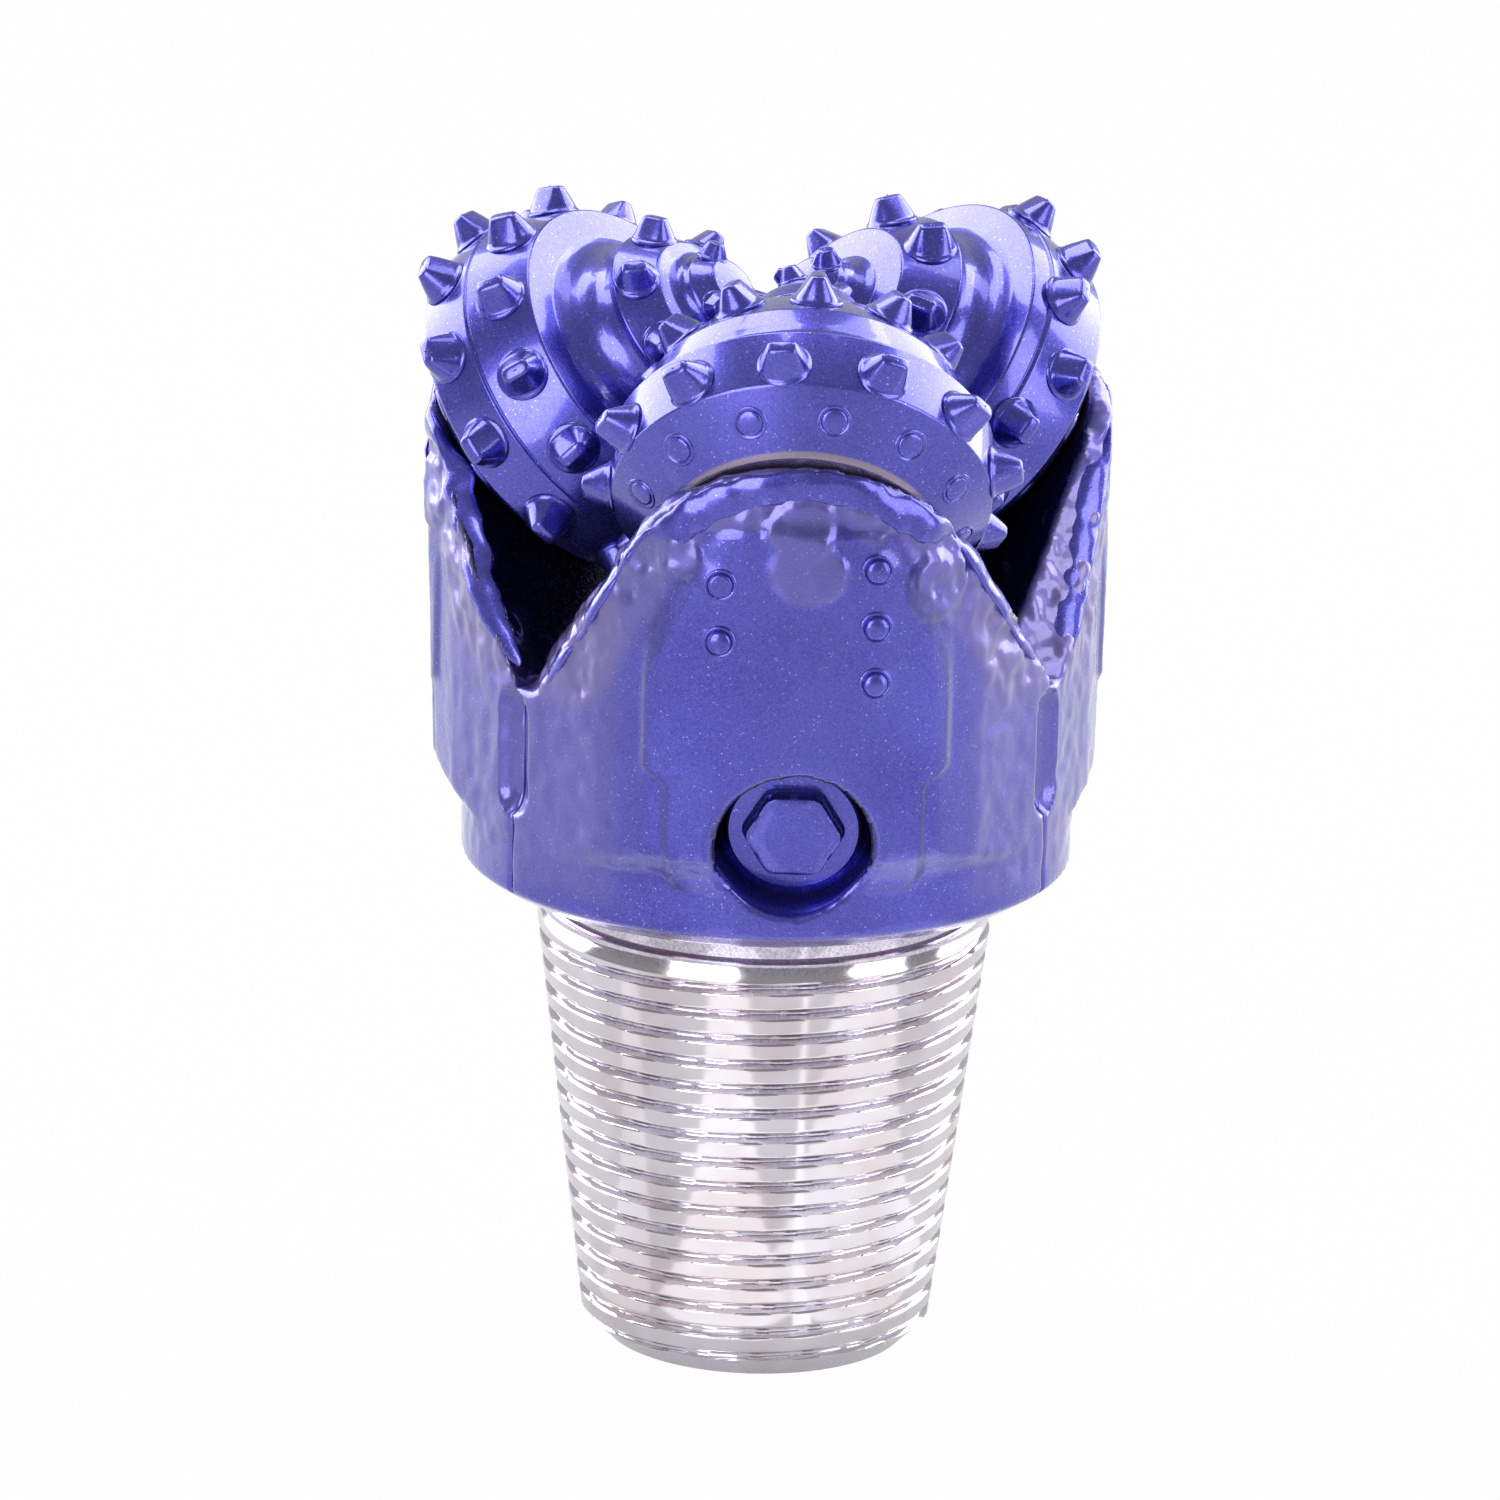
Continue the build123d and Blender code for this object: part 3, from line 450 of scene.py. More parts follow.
def build_cone(leg):
    """Turned cone: its outline carried round the journal axis."""
    origin, axes = journal_frame(leg)
    columns = 192
    points = revolved(cutter_outline(CUTTERS[leg]), columns)
    faces = grid_faces(len(points), columns, close_rows=False)
    piece = mesh_object(f"turned_cone_{leg}", points.reshape(-1, 3) @ axes.T + origin, faces, 32)
    t = (coordinates(piece.data) - origin) @ axes[:, 2]
    set_values(piece.data, "bare", smooth(BACK_T - 0.9, BACK_T - 0.5, t))
    return piece


def insert_surface(diameter, rise, sunk=1.5, columns=36, rows=16):
    """Pressed insert with a rounded chisel top. At each height its section is a circle cut by
    two flanks, joined by a soft minimum; both shrink towards a rounded crest along Y."""
    size = bpy.context.scene.bit_carbide
    angle = np.linspace(0, 2 * math.pi, columns, endpoint=False)[None, :]
    share = np.sin(np.linspace(0, math.pi / 2, rows))[:, None]
    radius = diameter / 2
    crest = radius * size.crest_share
    circle = radius + (crest - radius) * share ** 1.15
    flank = radius + (size.crest_half_mm - radius) * share ** 0.9
    closing = np.sqrt(np.clip(1 - smooth(0.86, 1.0, share) ** 2, 0, 1))
    power = 7
    section = (circle ** -power + (np.abs(np.cos(angle)) / flank) ** power) ** (-1 / power)
    section = section * (0.12 + 0.88 * closing)
    height = rise * (share - 0.05 * smooth(0.8, 1.0, share) * (1 - closing))
    bead = radius + size.collar_mm * np.exp(-((np.linspace(-1, 1, 5) * 1.4) ** 2))[:, None]
    low = np.concatenate((np.full((1, 1), 1e-3), np.full((1, 1), radius), bead)) + 0 * angle
    low_z = np.concatenate((np.full(2, -sunk), np.linspace(-0.35, 0.35, 5)))[:, None] + 0 * angle
    top = np.full((1, columns), 1e-3)
    reach = np.concatenate((low, section, top))
    z = np.concatenate((low_z, np.maximum(height, 0.4) + 0 * angle, np.full((1, columns), rise)))
    points = np.stack((reach * np.cos(angle), reach * np.sin(angle), z), axis=2)
    return points.reshape(-1, 3), grid_faces(len(points), columns, close_rows=False)


def button_surface(diameter, rise, sunk=1.5, columns=28):
    """Low domed button inside a fine raised ring: a circular profile turned about Z."""
    r = diameter / 2
    dome = [(r * 0.84 * math.cos(a), rise * (0.35 + 0.65 * math.sin(a)))
            for a in np.linspace(0, math.pi / 2, 6)]
    ring = [(r + 0.5, -0.05), (r + 0.34, 0.16), (r + 0.1, 0.2), (r - 0.14, 0.08), (r * 0.88, -0.02)]
    profile = [(1e-3, -sunk), (r, -sunk), (r, -0.3), *ring, *dome[:-1], (1e-3, rise)]
    points = revolved(profile, columns)
    return points.reshape(-1, 3), grid_faces(len(points), columns, close_rows=False)


def stand(surface, t, r, tilt, angle, quarter=False):
    """A copy of a surface on a cone's skin: Z out of it, Y along it or, with quarter, round it."""
    points, faces = surface
    if quarter:
        points = points @ np.array(((0, 1, 0), (-1, 0, 0), (0, 0, 1)))
    placed = stood(points, np.array((math.cos(tilt), 0, -math.sin(tilt)))) + np.array((r, 0, t))
    return turned_about_z(placed, math.radians(angle)), faces


def ring_of(surface, t, r, tilt, count, first, quarter=False):
    """One row: copies at equal angles."""
    return [stand(surface, t, r, tilt, first + 360 / count * i, quarter) for i in range(count)]


def joined(copies):
    """One point array and one face array for a list of copies."""
    counts = np.cumsum([0] + [len(p) for p, _ in copies])
    points = np.concatenate([p for p, _ in copies])
    return points, np.concatenate([f + n for (_, f), n in zip(copies, counts)])


def gauge_row(cutter):
    """The gauge inserts, in one or two rings, their crests round the cone."""
    size = bpy.context.scene.bit_carbide
    shape = insert_surface(size.diameter_mm, size.gauge_rise_mm)
    tilt = math.atan2(GAUGE_R - LAND_R, GAUGE_T - cutter["gauge_end"])
    rows = [ring_of(shape, t, LAND_R - 0.1, tilt, count, first, True) for t, count, first in cutter["gauge"]]
    return joined(sum(rows, []))


def inner_rows(cutter):
    """The inserts on the inner lands, their crests down the slope."""
    size = bpy.context.scene.bit_carbide
    copies = []
    for index, t, count, first, diameter in cutter["rows"]:
        (t1, r1), (t2, r2), tilt = cutter["lands"][index]
        shape = insert_surface(diameter, size.inner_rise_mm * diameter / size.diameter_mm)
        copies += ring_of(shape, t, r1 + (t - t1) * (r1 - r2) / (t1 - t2), tilt, count, first)
    return joined(copies)


def nose_row(cutter):
    """The small inserts round the nose."""
    size = bpy.context.scene.bit_carbide
    t, r, count, first = cutter["nose_row"]
    return joined(ring_of(insert_surface(size.nose_mm, size.nose_rise_mm, 1.0), t, r, math.radians(50),
                          count, first))


def heel_row(cutter):
    """The low buttons on the heel, the same on every cone."""
    size = bpy.context.scene.bit_carbide
    t = GAUGE_T + size.heel_drop_mm * math.sin(JOURNAL_ANGLE)
    r = GAUGE_R - size.heel_drop_mm * math.cos(JOURNAL_ANGLE)
    return joined(ring_of(button_surface(size.heel_mm, 0.45), t, r, JOURNAL_ANGLE - math.pi / 2, 12, -11.0))


def cap_surface():
    """Reservoir cap: a disc, and on it a hexagon whose radius is the apothem over the cosine of
    the angle from the nearest flat's middle, with clipped corners and a chamfered, domed top."""
    size = bpy.context.scene.bit_legs
    angle = np.linspace(0, 2 * math.pi, 96, endpoint=False)
    flat = np.mod(angle, math.pi / 3) - math.pi / 6
    apothem = size.cap_hex_mm / 2
    hexagon = np.minimum(apothem / np.cos(flat), apothem * 1.1)
    rim, low = size.cap_rim_mm, size.cap_disc_mm
    high = low + size.cap_rise_mm
    rows = ((1e-3, 0), (rim, 0), (rim, low - 0.4), (rim - 0.4, low),
            (hexagon + 0.5, low), (hexagon, low + 0.5), (hexagon, high - 1.1), (hexagon - 0.35, high - 0.5),
            (0.5 * hexagon + 0.45 * apothem - 0.6, high - 0.12), (0.6 * apothem, high), (1e-3, high + 0.05))
    points = np.array([np.stack((r * np.cos(angle), r * np.sin(angle), z + 0 * angle), axis=1)
                       for r, z in rows])
    return points.reshape(-1, 3), grid_faces(len(points), len(angle), close_rows=False)


def pocket_axis():
    """A point of the reservoir pocket's axis and its direction, which looks down by its tilt."""
    size = bpy.context.scene.bit_legs
    tilt = math.radians(size.pocket_tilt)
    height = size.pocket_mm + size.body_mm * math.tan(tilt)
    return np.array((0, size.offset_mm, height)), np.array((math.cos(tilt), 0, -math.sin(tilt)))


def build_cap(leg):
    """The cap in its pocket, square to the pocket's axis."""
    start, out = pocket_axis()
    points, faces = cap_surface()
    points = stood(points, out) + bpy.context.scene.bit_legs.cap_from_mm * out + start
    return mesh_object(f"hex_cap_{leg}", turned_about_z(points, leg_angle(leg)), faces, 30)


# ---------------------------------------------------------------- legs

def merged_copy(name, *nodes):
    """CAD nodes above the shoulder in one mesh, their loose triangles joined and the cut closed."""
    work = bmesh.new()
    for node in nodes:
        work.from_mesh(frame["nodes"][node].data)
    bmesh.ops.remove_doubles(work, verts=work.verts, dist=1e-6)
    parts = (*work.verts, *work.edges, *work.faces)
    cut = bmesh.ops.bisect_plane(work, geom=parts, plane_co=(0, 0, 0), plane_no=(0, 0, -1),
                                 clear_outer=True)
    edges = [e for e in cut["geom_cut"] if isinstance(e, bmesh.types.BMEdge) and e.is_boundary]
    bmesh.ops.holes_fill(work, edges=edges)
    mesh = bpy.data.meshes.new(name)
    work.to_mesh(mesh)
    work.free()
    return linked(name, mesh)


def applied(piece):
    """Bake a piece's modifiers into its mesh."""
    graph = bpy.context.evaluated_depsgraph_get()
    mesh = bpy.data.meshes.new_from_object(piece.evaluated_get(graph))
    piece.modifiers.clear()
    old, piece.data = piece.data, mesh
    bpy.data.meshes.remove(old)


def arch_distance(y, z):
    """Distance inwards from the arm's front outline: an arch above its spring, lines below."""
    size = bpy.context.scene.bit_legs
    sag = size.arch_top_mm - size.spring_mm
    radius = (size.arch_half_mm ** 2 + sag ** 2) / (2 * sag)
    above = radius - np.hypot(y, z - (size.arch_top_mm - radius))
    run, fall = size.valley_half_mm - size.arch_half_mm, size.spring_mm - size.valley_mm
    beside = ((size.arch_half_mm - np.abs(y)) * fall + (size.spring_mm - z) * run) / math.hypot(run, fall)
    return np.where(z > size.spring_mm, above, beside)


def plate_mask(y, z):
    """1 on the raised plate of the arm, which is narrower round the reservoir."""
    size = bpy.context.scene.bit_legs
    half = size.foot_half_mm + (size.plate_half_mm - size.foot_half_mm) * smooth(33, 37, z)
    corner = np.hypot(np.maximum(np.abs(y) - half + 4, 0), np.maximum(size.plate_foot_mm + 4 - z, 0))
    return smooth(5.0, 3.0, corner) * smooth(8.0, 15.0, arch_distance(y, z))


def weld_mask(y, z):
    """1 on the weld laid along the arm's edge."""
    return smooth(11.0, 7.0, arch_distance(y, z)) * smooth(40, 50, z)


# Weld patches on the arm: (sideways, height, radius, rise) in millimetres. The first two cover the
# ball hole's plug.
WELD_PATCHES = ((0.0, 84.0, 6.6, 0.9), (1.6, 76.4, 7.6, 0.7), (25.0, 71.5, 5.5, 1.1),
                (-22.0, 78.0, 4.5, 0.6), (-9.0, 87.0, 4.0, 0.5), (13.0, 85.0, 4.5, 0.6))


def forging_relief(p, n, seed):
    """Height added to a leg in its own frame, and how dull its paint dries: forging skin on the
    flanks, a raised plate, fused weld along the arm's edge and weld patches."""
    size = bpy.context.scene.bit_legs
    radial = np.hypot(p[:, 0], p[:, 1])
    y, z = p[:, 1] - size.offset_mm, p[:, 2]
    outward = np.clip((n[:, 0] * p[:, 0] + n[:, 1] * p[:, 1]) / np.maximum(radial, 1), 0, 1)
    skin = smooth(46, 56, radial) * smooth(5, 9, z)
    panel = smooth(50, 58, radial)
    plate = plate_mask(y, z) * outward * panel
    flank = smooth(30, 36, np.abs(y)) * (1 - plate)
    high = skin * ((0.04 + 0.2 * flank) * lumps(p, 3.2, seed) + 0.05 * lumps(p, 1.5, seed + 1))
    high += plate * size.plate_rise_mm
    weld = weld_mask(y, z) * smooth(40, 52, radial)
    high += weld * (0.25 + 0.6 * lumps(p, 4.4, seed + 2) + 0.34 * lumps(p, 2.1, seed + 3))
    dull = np.clip(0.55 * weld + 0.35 * flank * skin, 0, 1)
    for cy, cz, across, rise in WELD_PATCHES:
        gap = np.hypot(y - cy, (z - cz) * (0.75 if cy > 20 else 1.0)) + 0.7 * lumps(p, 4.0, seed + 6)
        patch = smooth(across, across - 1.3, gap) * outward ** 2 * panel
        high += patch * rise * (0.75 + 0.35 * lumps(p, 3.0, seed + 4))
        dull = np.maximum(dull, 0.45 * patch)
    return high, dull


def plate_shadow(p):
    """1 along the plate's foot line, for a line of painted shade."""
    size = bpy.context.scene.bit_legs
    rim = plate_mask(p[:, 1] - size.offset_mm, p[:, 2])
    return smooth(0.01, 0.2, rim) * smooth(0.98, 0.7, rim) * smooth(50, 56, np.hypot(p[:, 0], p[:, 1]))


def scoop_relief(p):
    """Depth of the rounded scoops milled where the leg meets its neighbours, under the valleys."""
    radial = np.hypot(p[:, 0], p[:, 1])
    angle = np.degrees(np.arctan2(p[:, 1], p[:, 0])) - 5
    depth = 0
    for seam in (-60, 60):
        across = np.radians(angle - seam) * radial
        gap = np.hypot(across, np.maximum(np.abs(p[:, 2] - 31) - 7.5, 0))
        depth = depth + 2.4 * np.sqrt(np.clip(1 - (gap / 4.6) ** 2, 0, 1)) * smooth(44, 52, radial)
    return depth


def painted_shade_mask(p, face):
    """1 where a leg faces its cone or the space between the legs, for painted shade there, with a
    ragged edge; face is each point's distance from the apex along the journal."""
    radial = np.hypot(p[:, 0], p[:, 1])
    inside = smooth(66.0, 65.0, face) * smooth(41, 45, p[:, 2]) * smooth(63, 60, radial)
    reach = 1.6 * lumps(p, 3.0, 91) + lumps(p, 1.0, 92)
    return inside * smooth(50, 80, 80 - reach + p[:, 2] - radial)


def build_leg(leg):
    """Forged leg: the CAD leg above the pin, joined to its plug and buttons and fused by an even
    remesh, then raised by the relief and kept behind the cone's back face and in the CAD box."""
    size = bpy.context.scene.bit_legs
    piece = merged_copy(f"forged_leg_{leg}", f"leg_{leg}", f"ball_plug_{leg}", f"leg_buttons_{leg}")
    remesh = piece.modifiers.new("fuse", "REMESH")
    remesh.mode = "VOXEL"
    remesh.voxel_size = size.voxel_mm * MM
    soften = piece.modifiers.new("soften", "SMOOTH")
    soften.factor, soften.iterations = 0.5, 3
    applied(piece)
    mesh = piece.data
    points, turn = coordinates(mesh), leg_angle(leg)
    local, out = turned_about_z(points, -turn), turned_about_z(normals(mesh), -turn)
    near, along = pocket_distance(local)
    relief, dull = forging_relief(local, out, 10 * leg)
    relief = relief * smooth(14.6, 16.5, near)
    radial = np.hypot(local[:, 0], local[:, 1])[:, None]
    inward = np.concatenate((-local[:, :2] / np.maximum(radial, 1), 0 * radial), axis=1)
    local = local + out * relief[:, None] + inward * scoop_relief(local)[:, None]
    moved = turned_about_z(local, turn)
    origin, axes = journal_frame(leg)
    face = (points - origin) @ axes[:, 2]
    slip = np.where(face > size.face_t_mm - 0.6, size.face_t_mm - (moved - origin) @ axes[:, 2], 0)
    move_points(mesh, moved + np.maximum(slip, 0)[:, None] * axes[:, 2])
    boxed(piece)
    # Painted shade in the reservoir pocket round the cap, left off the pocket's lower wall.
    below = smooth(-0.15, -0.45, (local[:, 2] - size.pocket_mm) / np.maximum(near, 1)) * smooth(10, 12, near)
    ring = smooth(15.6, 14.9, near) * smooth(30, 40, along) * (1 - below)
    # A faint line of painted shade along the plate's foot.
    thin = 0.3 * plate_shadow(local) * smooth(15, 18, near)
    set_values(mesh, "painted_shade", np.maximum(np.maximum(painted_shade_mask(points, face), ring), thin))
    set_values(mesh, "dull", dull)
    set_values(mesh, "bare", smooth(0.6, 0.1, points[:, 2]))
    mesh.shade_smooth()
    return piece


def pocket_distance(local):
    """Distance from the reservoir pocket's axis, on the axis's outer side, and distance along it."""
    start, out = pocket_axis()
    rel = local - start
    along = rel @ out
    near = np.linalg.norm(rel - along[:, None] * out, axis=1)
    return np.where(along > 20, near, 99), along


def build_pin():
    """Threaded pin. Outside: a plain neck, then a tapered right-hand thread whose radius is the
    crest cone less a depth that follows the phase, height over pitch less the share of a turn;
    its crests are slightly crowned and a 45 degree chamfer cuts its end. Inside: the water
    course, closed by the two end faces."""
    size = bpy.context.scene.bit_thread
    columns, per_pitch = 180, 20
    low, high = -size.length_mm, -size.neck_mm + 0.3
    rows = int((high - low) / size.pitch_mm * per_pitch)
    z = np.linspace(high, low, rows)[:, None]
    angle = np.linspace(0, 2 * math.pi, columns, endpoint=False)[None, :]
    phase = np.mod(z / size.pitch_mm - angle / (2 * math.pi), 1.0)
    crest = size.crest_mm / 2 + size.taper / 2 * z
    root = crest - size.depth_mm
    from_crest = np.abs(phase - 0.5) * size.pitch_mm
    rise = np.clip((size.pitch_mm / 2 - size.root_mm / 2 - from_crest)
                   / (size.pitch_mm / 2 - size.root_mm / 2 - size.flat_mm / 2), 0, 1)
    crown = size.crown_mm * np.clip((size.pitch_mm / 2 - from_crest) / (size.flat_mm / 2), 0, 1)
    radius = root + (crest - root - size.crown_mm + crown) * rise * smooth(high, high - 4.0, z)
    radius = np.minimum(radius, size.end_mm + (z + size.length_mm))
    neck_r = size.neck_r_mm
    neck = np.array(((neck_r, -0.05), (neck_r, high + 0.8), (neck_r - 0.5, high + 0.05)))
    reach = np.concatenate((neck[:, :1] + 0 * angle, radius + 0 * angle,
                            np.array([[size.bore_r_mm]] * 2) + 0 * angle))
    heights = np.concatenate((neck[:, 1:], z, np.array([[low], [-0.05]]))) + 0 * angle
    points = np.stack((reach * np.cos(angle), reach * np.sin(angle), heights), axis=2)
    piece = mesh_object("threaded_pin", points.reshape(-1, 3), grid_faces(len(points), columns, True), 50)
    p = coordinates(piece.data)
    away = np.hypot(p[:, 0], p[:, 1])
    deep = smooth(0.2, 1.2, size.crest_mm / 2 + size.taper / 2 * p[:, 2] - away) * smooth(24, 26, away)
    spray = 0.5 * deep * (0.4 + 0.6 * smooth(-85, -12, p[:, 2])) + 0.55 * smooth(-2.5, -0.2, p[:, 2])
    set_values(piece.data, "overspray", spray)
    return piece


# ---------------------------------------------------------------- weld beads and leg buttons

def edge_path(inset, count):
    """(y, z) points along the arm's edge, inset from it: up one side, over the arch, down."""
    size = bpy.context.scene.bit_legs
    sag = size.arch_top_mm - size.spring_mm
    radius = (size.arch_half_mm ** 2 + sag ** 2) / (2 * sag)
    half_turn = math.asin(size.arch_half_mm / radius)
    turn = np.linspace(-half_turn, half_turn, 40)
    top = np.stack(((radius - inset) * np.sin(turn),
                    size.arch_top_mm - radius + (radius - inset) * np.cos(turn)), axis=1)
    run, fall = size.valley_half_mm - size.arch_half_mm, size.spring_mm - size.valley_mm
    shift = inset * np.array((-fall, -run)) / math.hypot(run, fall)
    foot = np.array((size.valley_half_mm, size.valley_mm)) + shift
    path = np.concatenate(([foot * (-1, 1)], top, [foot]))
    steps = np.concatenate(([0], np.cumsum(np.linalg.norm(np.diff(path, axis=0), axis=1))))
    even = np.linspace(0, steps[-1], count)
    path = np.stack([np.interp(even, steps, path[:, i]) for i in (0, 1)], axis=1)
    return path[(path[:, 0] > -size.seam_left_mm) & (path[:, 0] < size.seam_right_mm)]


def on_surface(piece, leg, path):
    """Where rays shot inwards at (y, z) of a leg's own frame meet a piece, and its normals."""
    turn = leg_angle(leg)
    sideways = path[:, 0] + bpy.context.scene.bit_legs.offset_mm
    start = turned_about_z(np.column_stack((np.full(len(path), 90.0), sideways, path[:, 1])), turn)
    inward = (-heading(turn)).tolist()
    bpy.context.view_layer.update()
    hits = [piece.ray_cast((p * MM).tolist(), inward) for p in start]
    if not all(hit[0] for hit in hits):
        raise RuntimeError("a ray missed the leg")
    return np.array([hit[1] for hit in hits]) / MM, np.array([hit[2] for hit in hits])


def smoothed(values, times):
    """Rows averaged with their neighbours, ends kept."""
    for _ in range(times):
        inner = (values[:-2] + 2 * values[1:-1] + values[2:]) / 4
        values = np.concatenate((values[:1], inner, values[-1:]))
    return values


def bead(name, centre, wide, thick, seed, columns=20):
    """Weld bead: an ellipse, whose half axes wide and thick are vectors that change along the
    path, swollen here and there by noise and drawn in at its ends."""
    angle = np.linspace(0, 2 * math.pi, columns, endpoint=False)[None, :, None]
    share = np.linspace(0, 1, len(centre))
    ends = np.sqrt(np.clip(1 - (2 * np.abs(share - 0.5)) ** 16, 0.002, 1))[:, None, None]
    skirt = ends * (wide[:, None] * np.cos(angle) + thick[:, None] * np.sin(angle))
    flat = (centre[:, None] + skirt).reshape(-1, 3)
    swell = 1 + 0.2 * lumps(flat, 3.8, seed) + 0.1 * lumps(flat, 1.7, seed + 1)
    skirt = centre[:, None] + skirt * swell.reshape(len(centre), columns, 1)
    caps = [centre[:1, None] + 0 * skirt[:1], centre[-1:, None] + 0 * skirt[:1]]
    points = np.concatenate((caps[0], skirt, caps[1]))
    return mesh_object(name, points.reshape(-1, 3), grid_faces(len(points), columns, False), 60)


def unit(vectors):
    """Rows scaled to length 1."""
    return vectors / np.linalg.norm(vectors, axis=1)[:, None]


def build_edge_bead(leg, piece):
    """Hardfacing along the arm's edge: flat on its face over the arch, and standing across the
    arm's thickness down both sides, where it covers the edge itself. A ray that fell past the
    edge, more than 0.8 mm below the median of its 21 neighbours, is lifted to that median."""
    size = bpy.context.scene.bit_legs
    at, out = on_surface(piece, leg, edge_path(size.bead_inset_mm, 170))
    front = heading(leg_angle(leg))
    depth = at @ front
    around = np.lib.stride_tricks.sliding_window_view(np.pad(depth, 10, mode="edge"), 21)
    around = np.median(around, axis=1)
    fallen = depth < around - 0.8
    at = at + np.where(fallen, around - depth, 0)[:, None] * front
    out = np.where(fallen[:, None], front, out)
    at, out = smoothed(at, 6), unit(smoothed(out, 12))
    along = unit(np.gradient(at, axis=0))
    across = unit(np.cross(along, out))
    out = np.cross(across, along)
    side = smooth(84, 76, at[:, 2])[:, None]
    sunk = 0.35 * out * (1 - side) + 2.9 * side * front
    edge = at - side * (size.bead_inset_mm - 0.2) * across - sunk
    lean = 0.45 * math.pi * side
    wide = 0.5 * size.bead_mm * (1 + 0.15 * side) * (np.cos(lean) * across - np.sin(lean) * front)
    thick = (1.25 + 0.4 * side) * (np.sin(lean) * across + np.cos(lean) * out)
    return boxed(bead(f"edge_weld_{leg}", edge, wide, thick, 300 + leg))


def build_leg_buttons(leg, piece):
    """Domed buttons in the arm's face, each turned halfway to its own place round the bit."""
    size = bpy.context.scene.bit_legs
    left, right = (62.5, 73.5), (54.4, 65.3, 76.3)
    places = [(-size.button_y_mm, z) for z in left] + [(size.button_y_mm, z) for z in right]
    at, _ = on_surface(piece, leg, np.array(places))
    turn = leg_angle(leg)
    points, faces = button_surface(bpy.context.scene.bit_carbide.leg_mm, size.button_rise_mm)
    copies = []
    for place in at:
        out = heading(turn + 0.5 * (math.atan2(place[1], place[0]) - turn))
        copies.append((stood(points, out, np.cross((0, 0, 1), out)) + place - 0.2 * out, faces))
    points, faces = joined(copies)
    return boxed(mesh_object(f"leg_button_domes_{leg}", points, faces, 60))


def shown(piece, body, slot, *nodes):
    """Ride on a body and stand for CAD nodes, which are hidden; slot is not used."""
    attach(piece, body)
    if nodes:
        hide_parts(*nodes)
    return piece


# ---------------------------------------------------------------- settings

def number(name, description, default):
    """A numeric setting."""
    return FloatProperty(name=name, description=description, default=default)


class BitPaint(bpy.types.PropertyGroup):
    deep: FloatVectorProperty(name="Deep coat", description="Enamel where it is thick", subtype="COLOR",
                              default=linear("#3A36A6")[:3], min=0, max=1)
    light: FloatVectorProperty(name="Light coat", description="Enamel where it is thin", subtype="COLOR",
                               default=linear("#4B49B8")[:3], min=0, max=1)
    mica: FloatVectorProperty(name="Mica", description="Pale flakes in the enamel", subtype="COLOR",
                              default=linear("#8C8CE0")[:3], min=0, max=1)


class BitThread(bpy.types.PropertyGroup):
    pitch_mm: number("Pitch", "Thread pitch in millimetres", 5.08)
    depth_mm: number("Depth", "Thread depth in millimetres", 1.5)
    crest_mm: number("Large end", "Crest diameter at the shoulder", 88.9)
    taper: number("Taper", "Taper on diameter", 0.25)
    length_mm: number("Pin length", "Shoulder to pin end", 92.5)
    neck_mm: number("Neck", "Plain length under the shoulder", 7.0)
    end_mm: number("End radius", "Radius of the pin's end face", 28.9)
    flat_mm: number("Crest flat", "Width of the thread's flat crest", 2.9)
    root_mm: number("Root flat", "Width of the thread's root", 0.6)
    crown_mm: number("Crown", "How far a crest's middle stands out", 0.09)
    neck_r_mm: number("Neck radius", "Radius of the plain neck", 41.3)
    bore_r_mm: number("Water course", "Radius of the bore", 19.05)


class BitCutters(bpy.types.PropertyGroup):
    edge_mm: number("Edge", "Rounding of a cone's turned edges", 0.45)


class BitCarbide(bpy.types.PropertyGroup):
    diameter_mm: number("Insert", "Insert diameter", 9.5)
    gauge_rise_mm: number("Gauge rise", "How far gauge inserts stand out", 6.0)
    inner_rise_mm: number("Inner rise", "How far inner inserts stand out", 5.4)
    crest_share: number("Crest", "Crest length over diameter", 0.5)
    crest_half_mm: number("Crest half width", "Half the crest's width", 1.0)
    collar_mm: number("Collar", "Paint bead round an insert's foot", 0.28)
    nose_mm: number("Nose insert", "Nose insert diameter", 5.6)
    nose_rise_mm: number("Nose rise", "How far nose inserts stand out", 3.2)
    heel_mm: number("Heel button", "Heel button diameter", 5.5)
    heel_drop_mm: number("Heel drop", "From gauge edge to heel buttons", 6.6)
    leg_mm: number("Leg button", "Leg button diameter", 5.2)


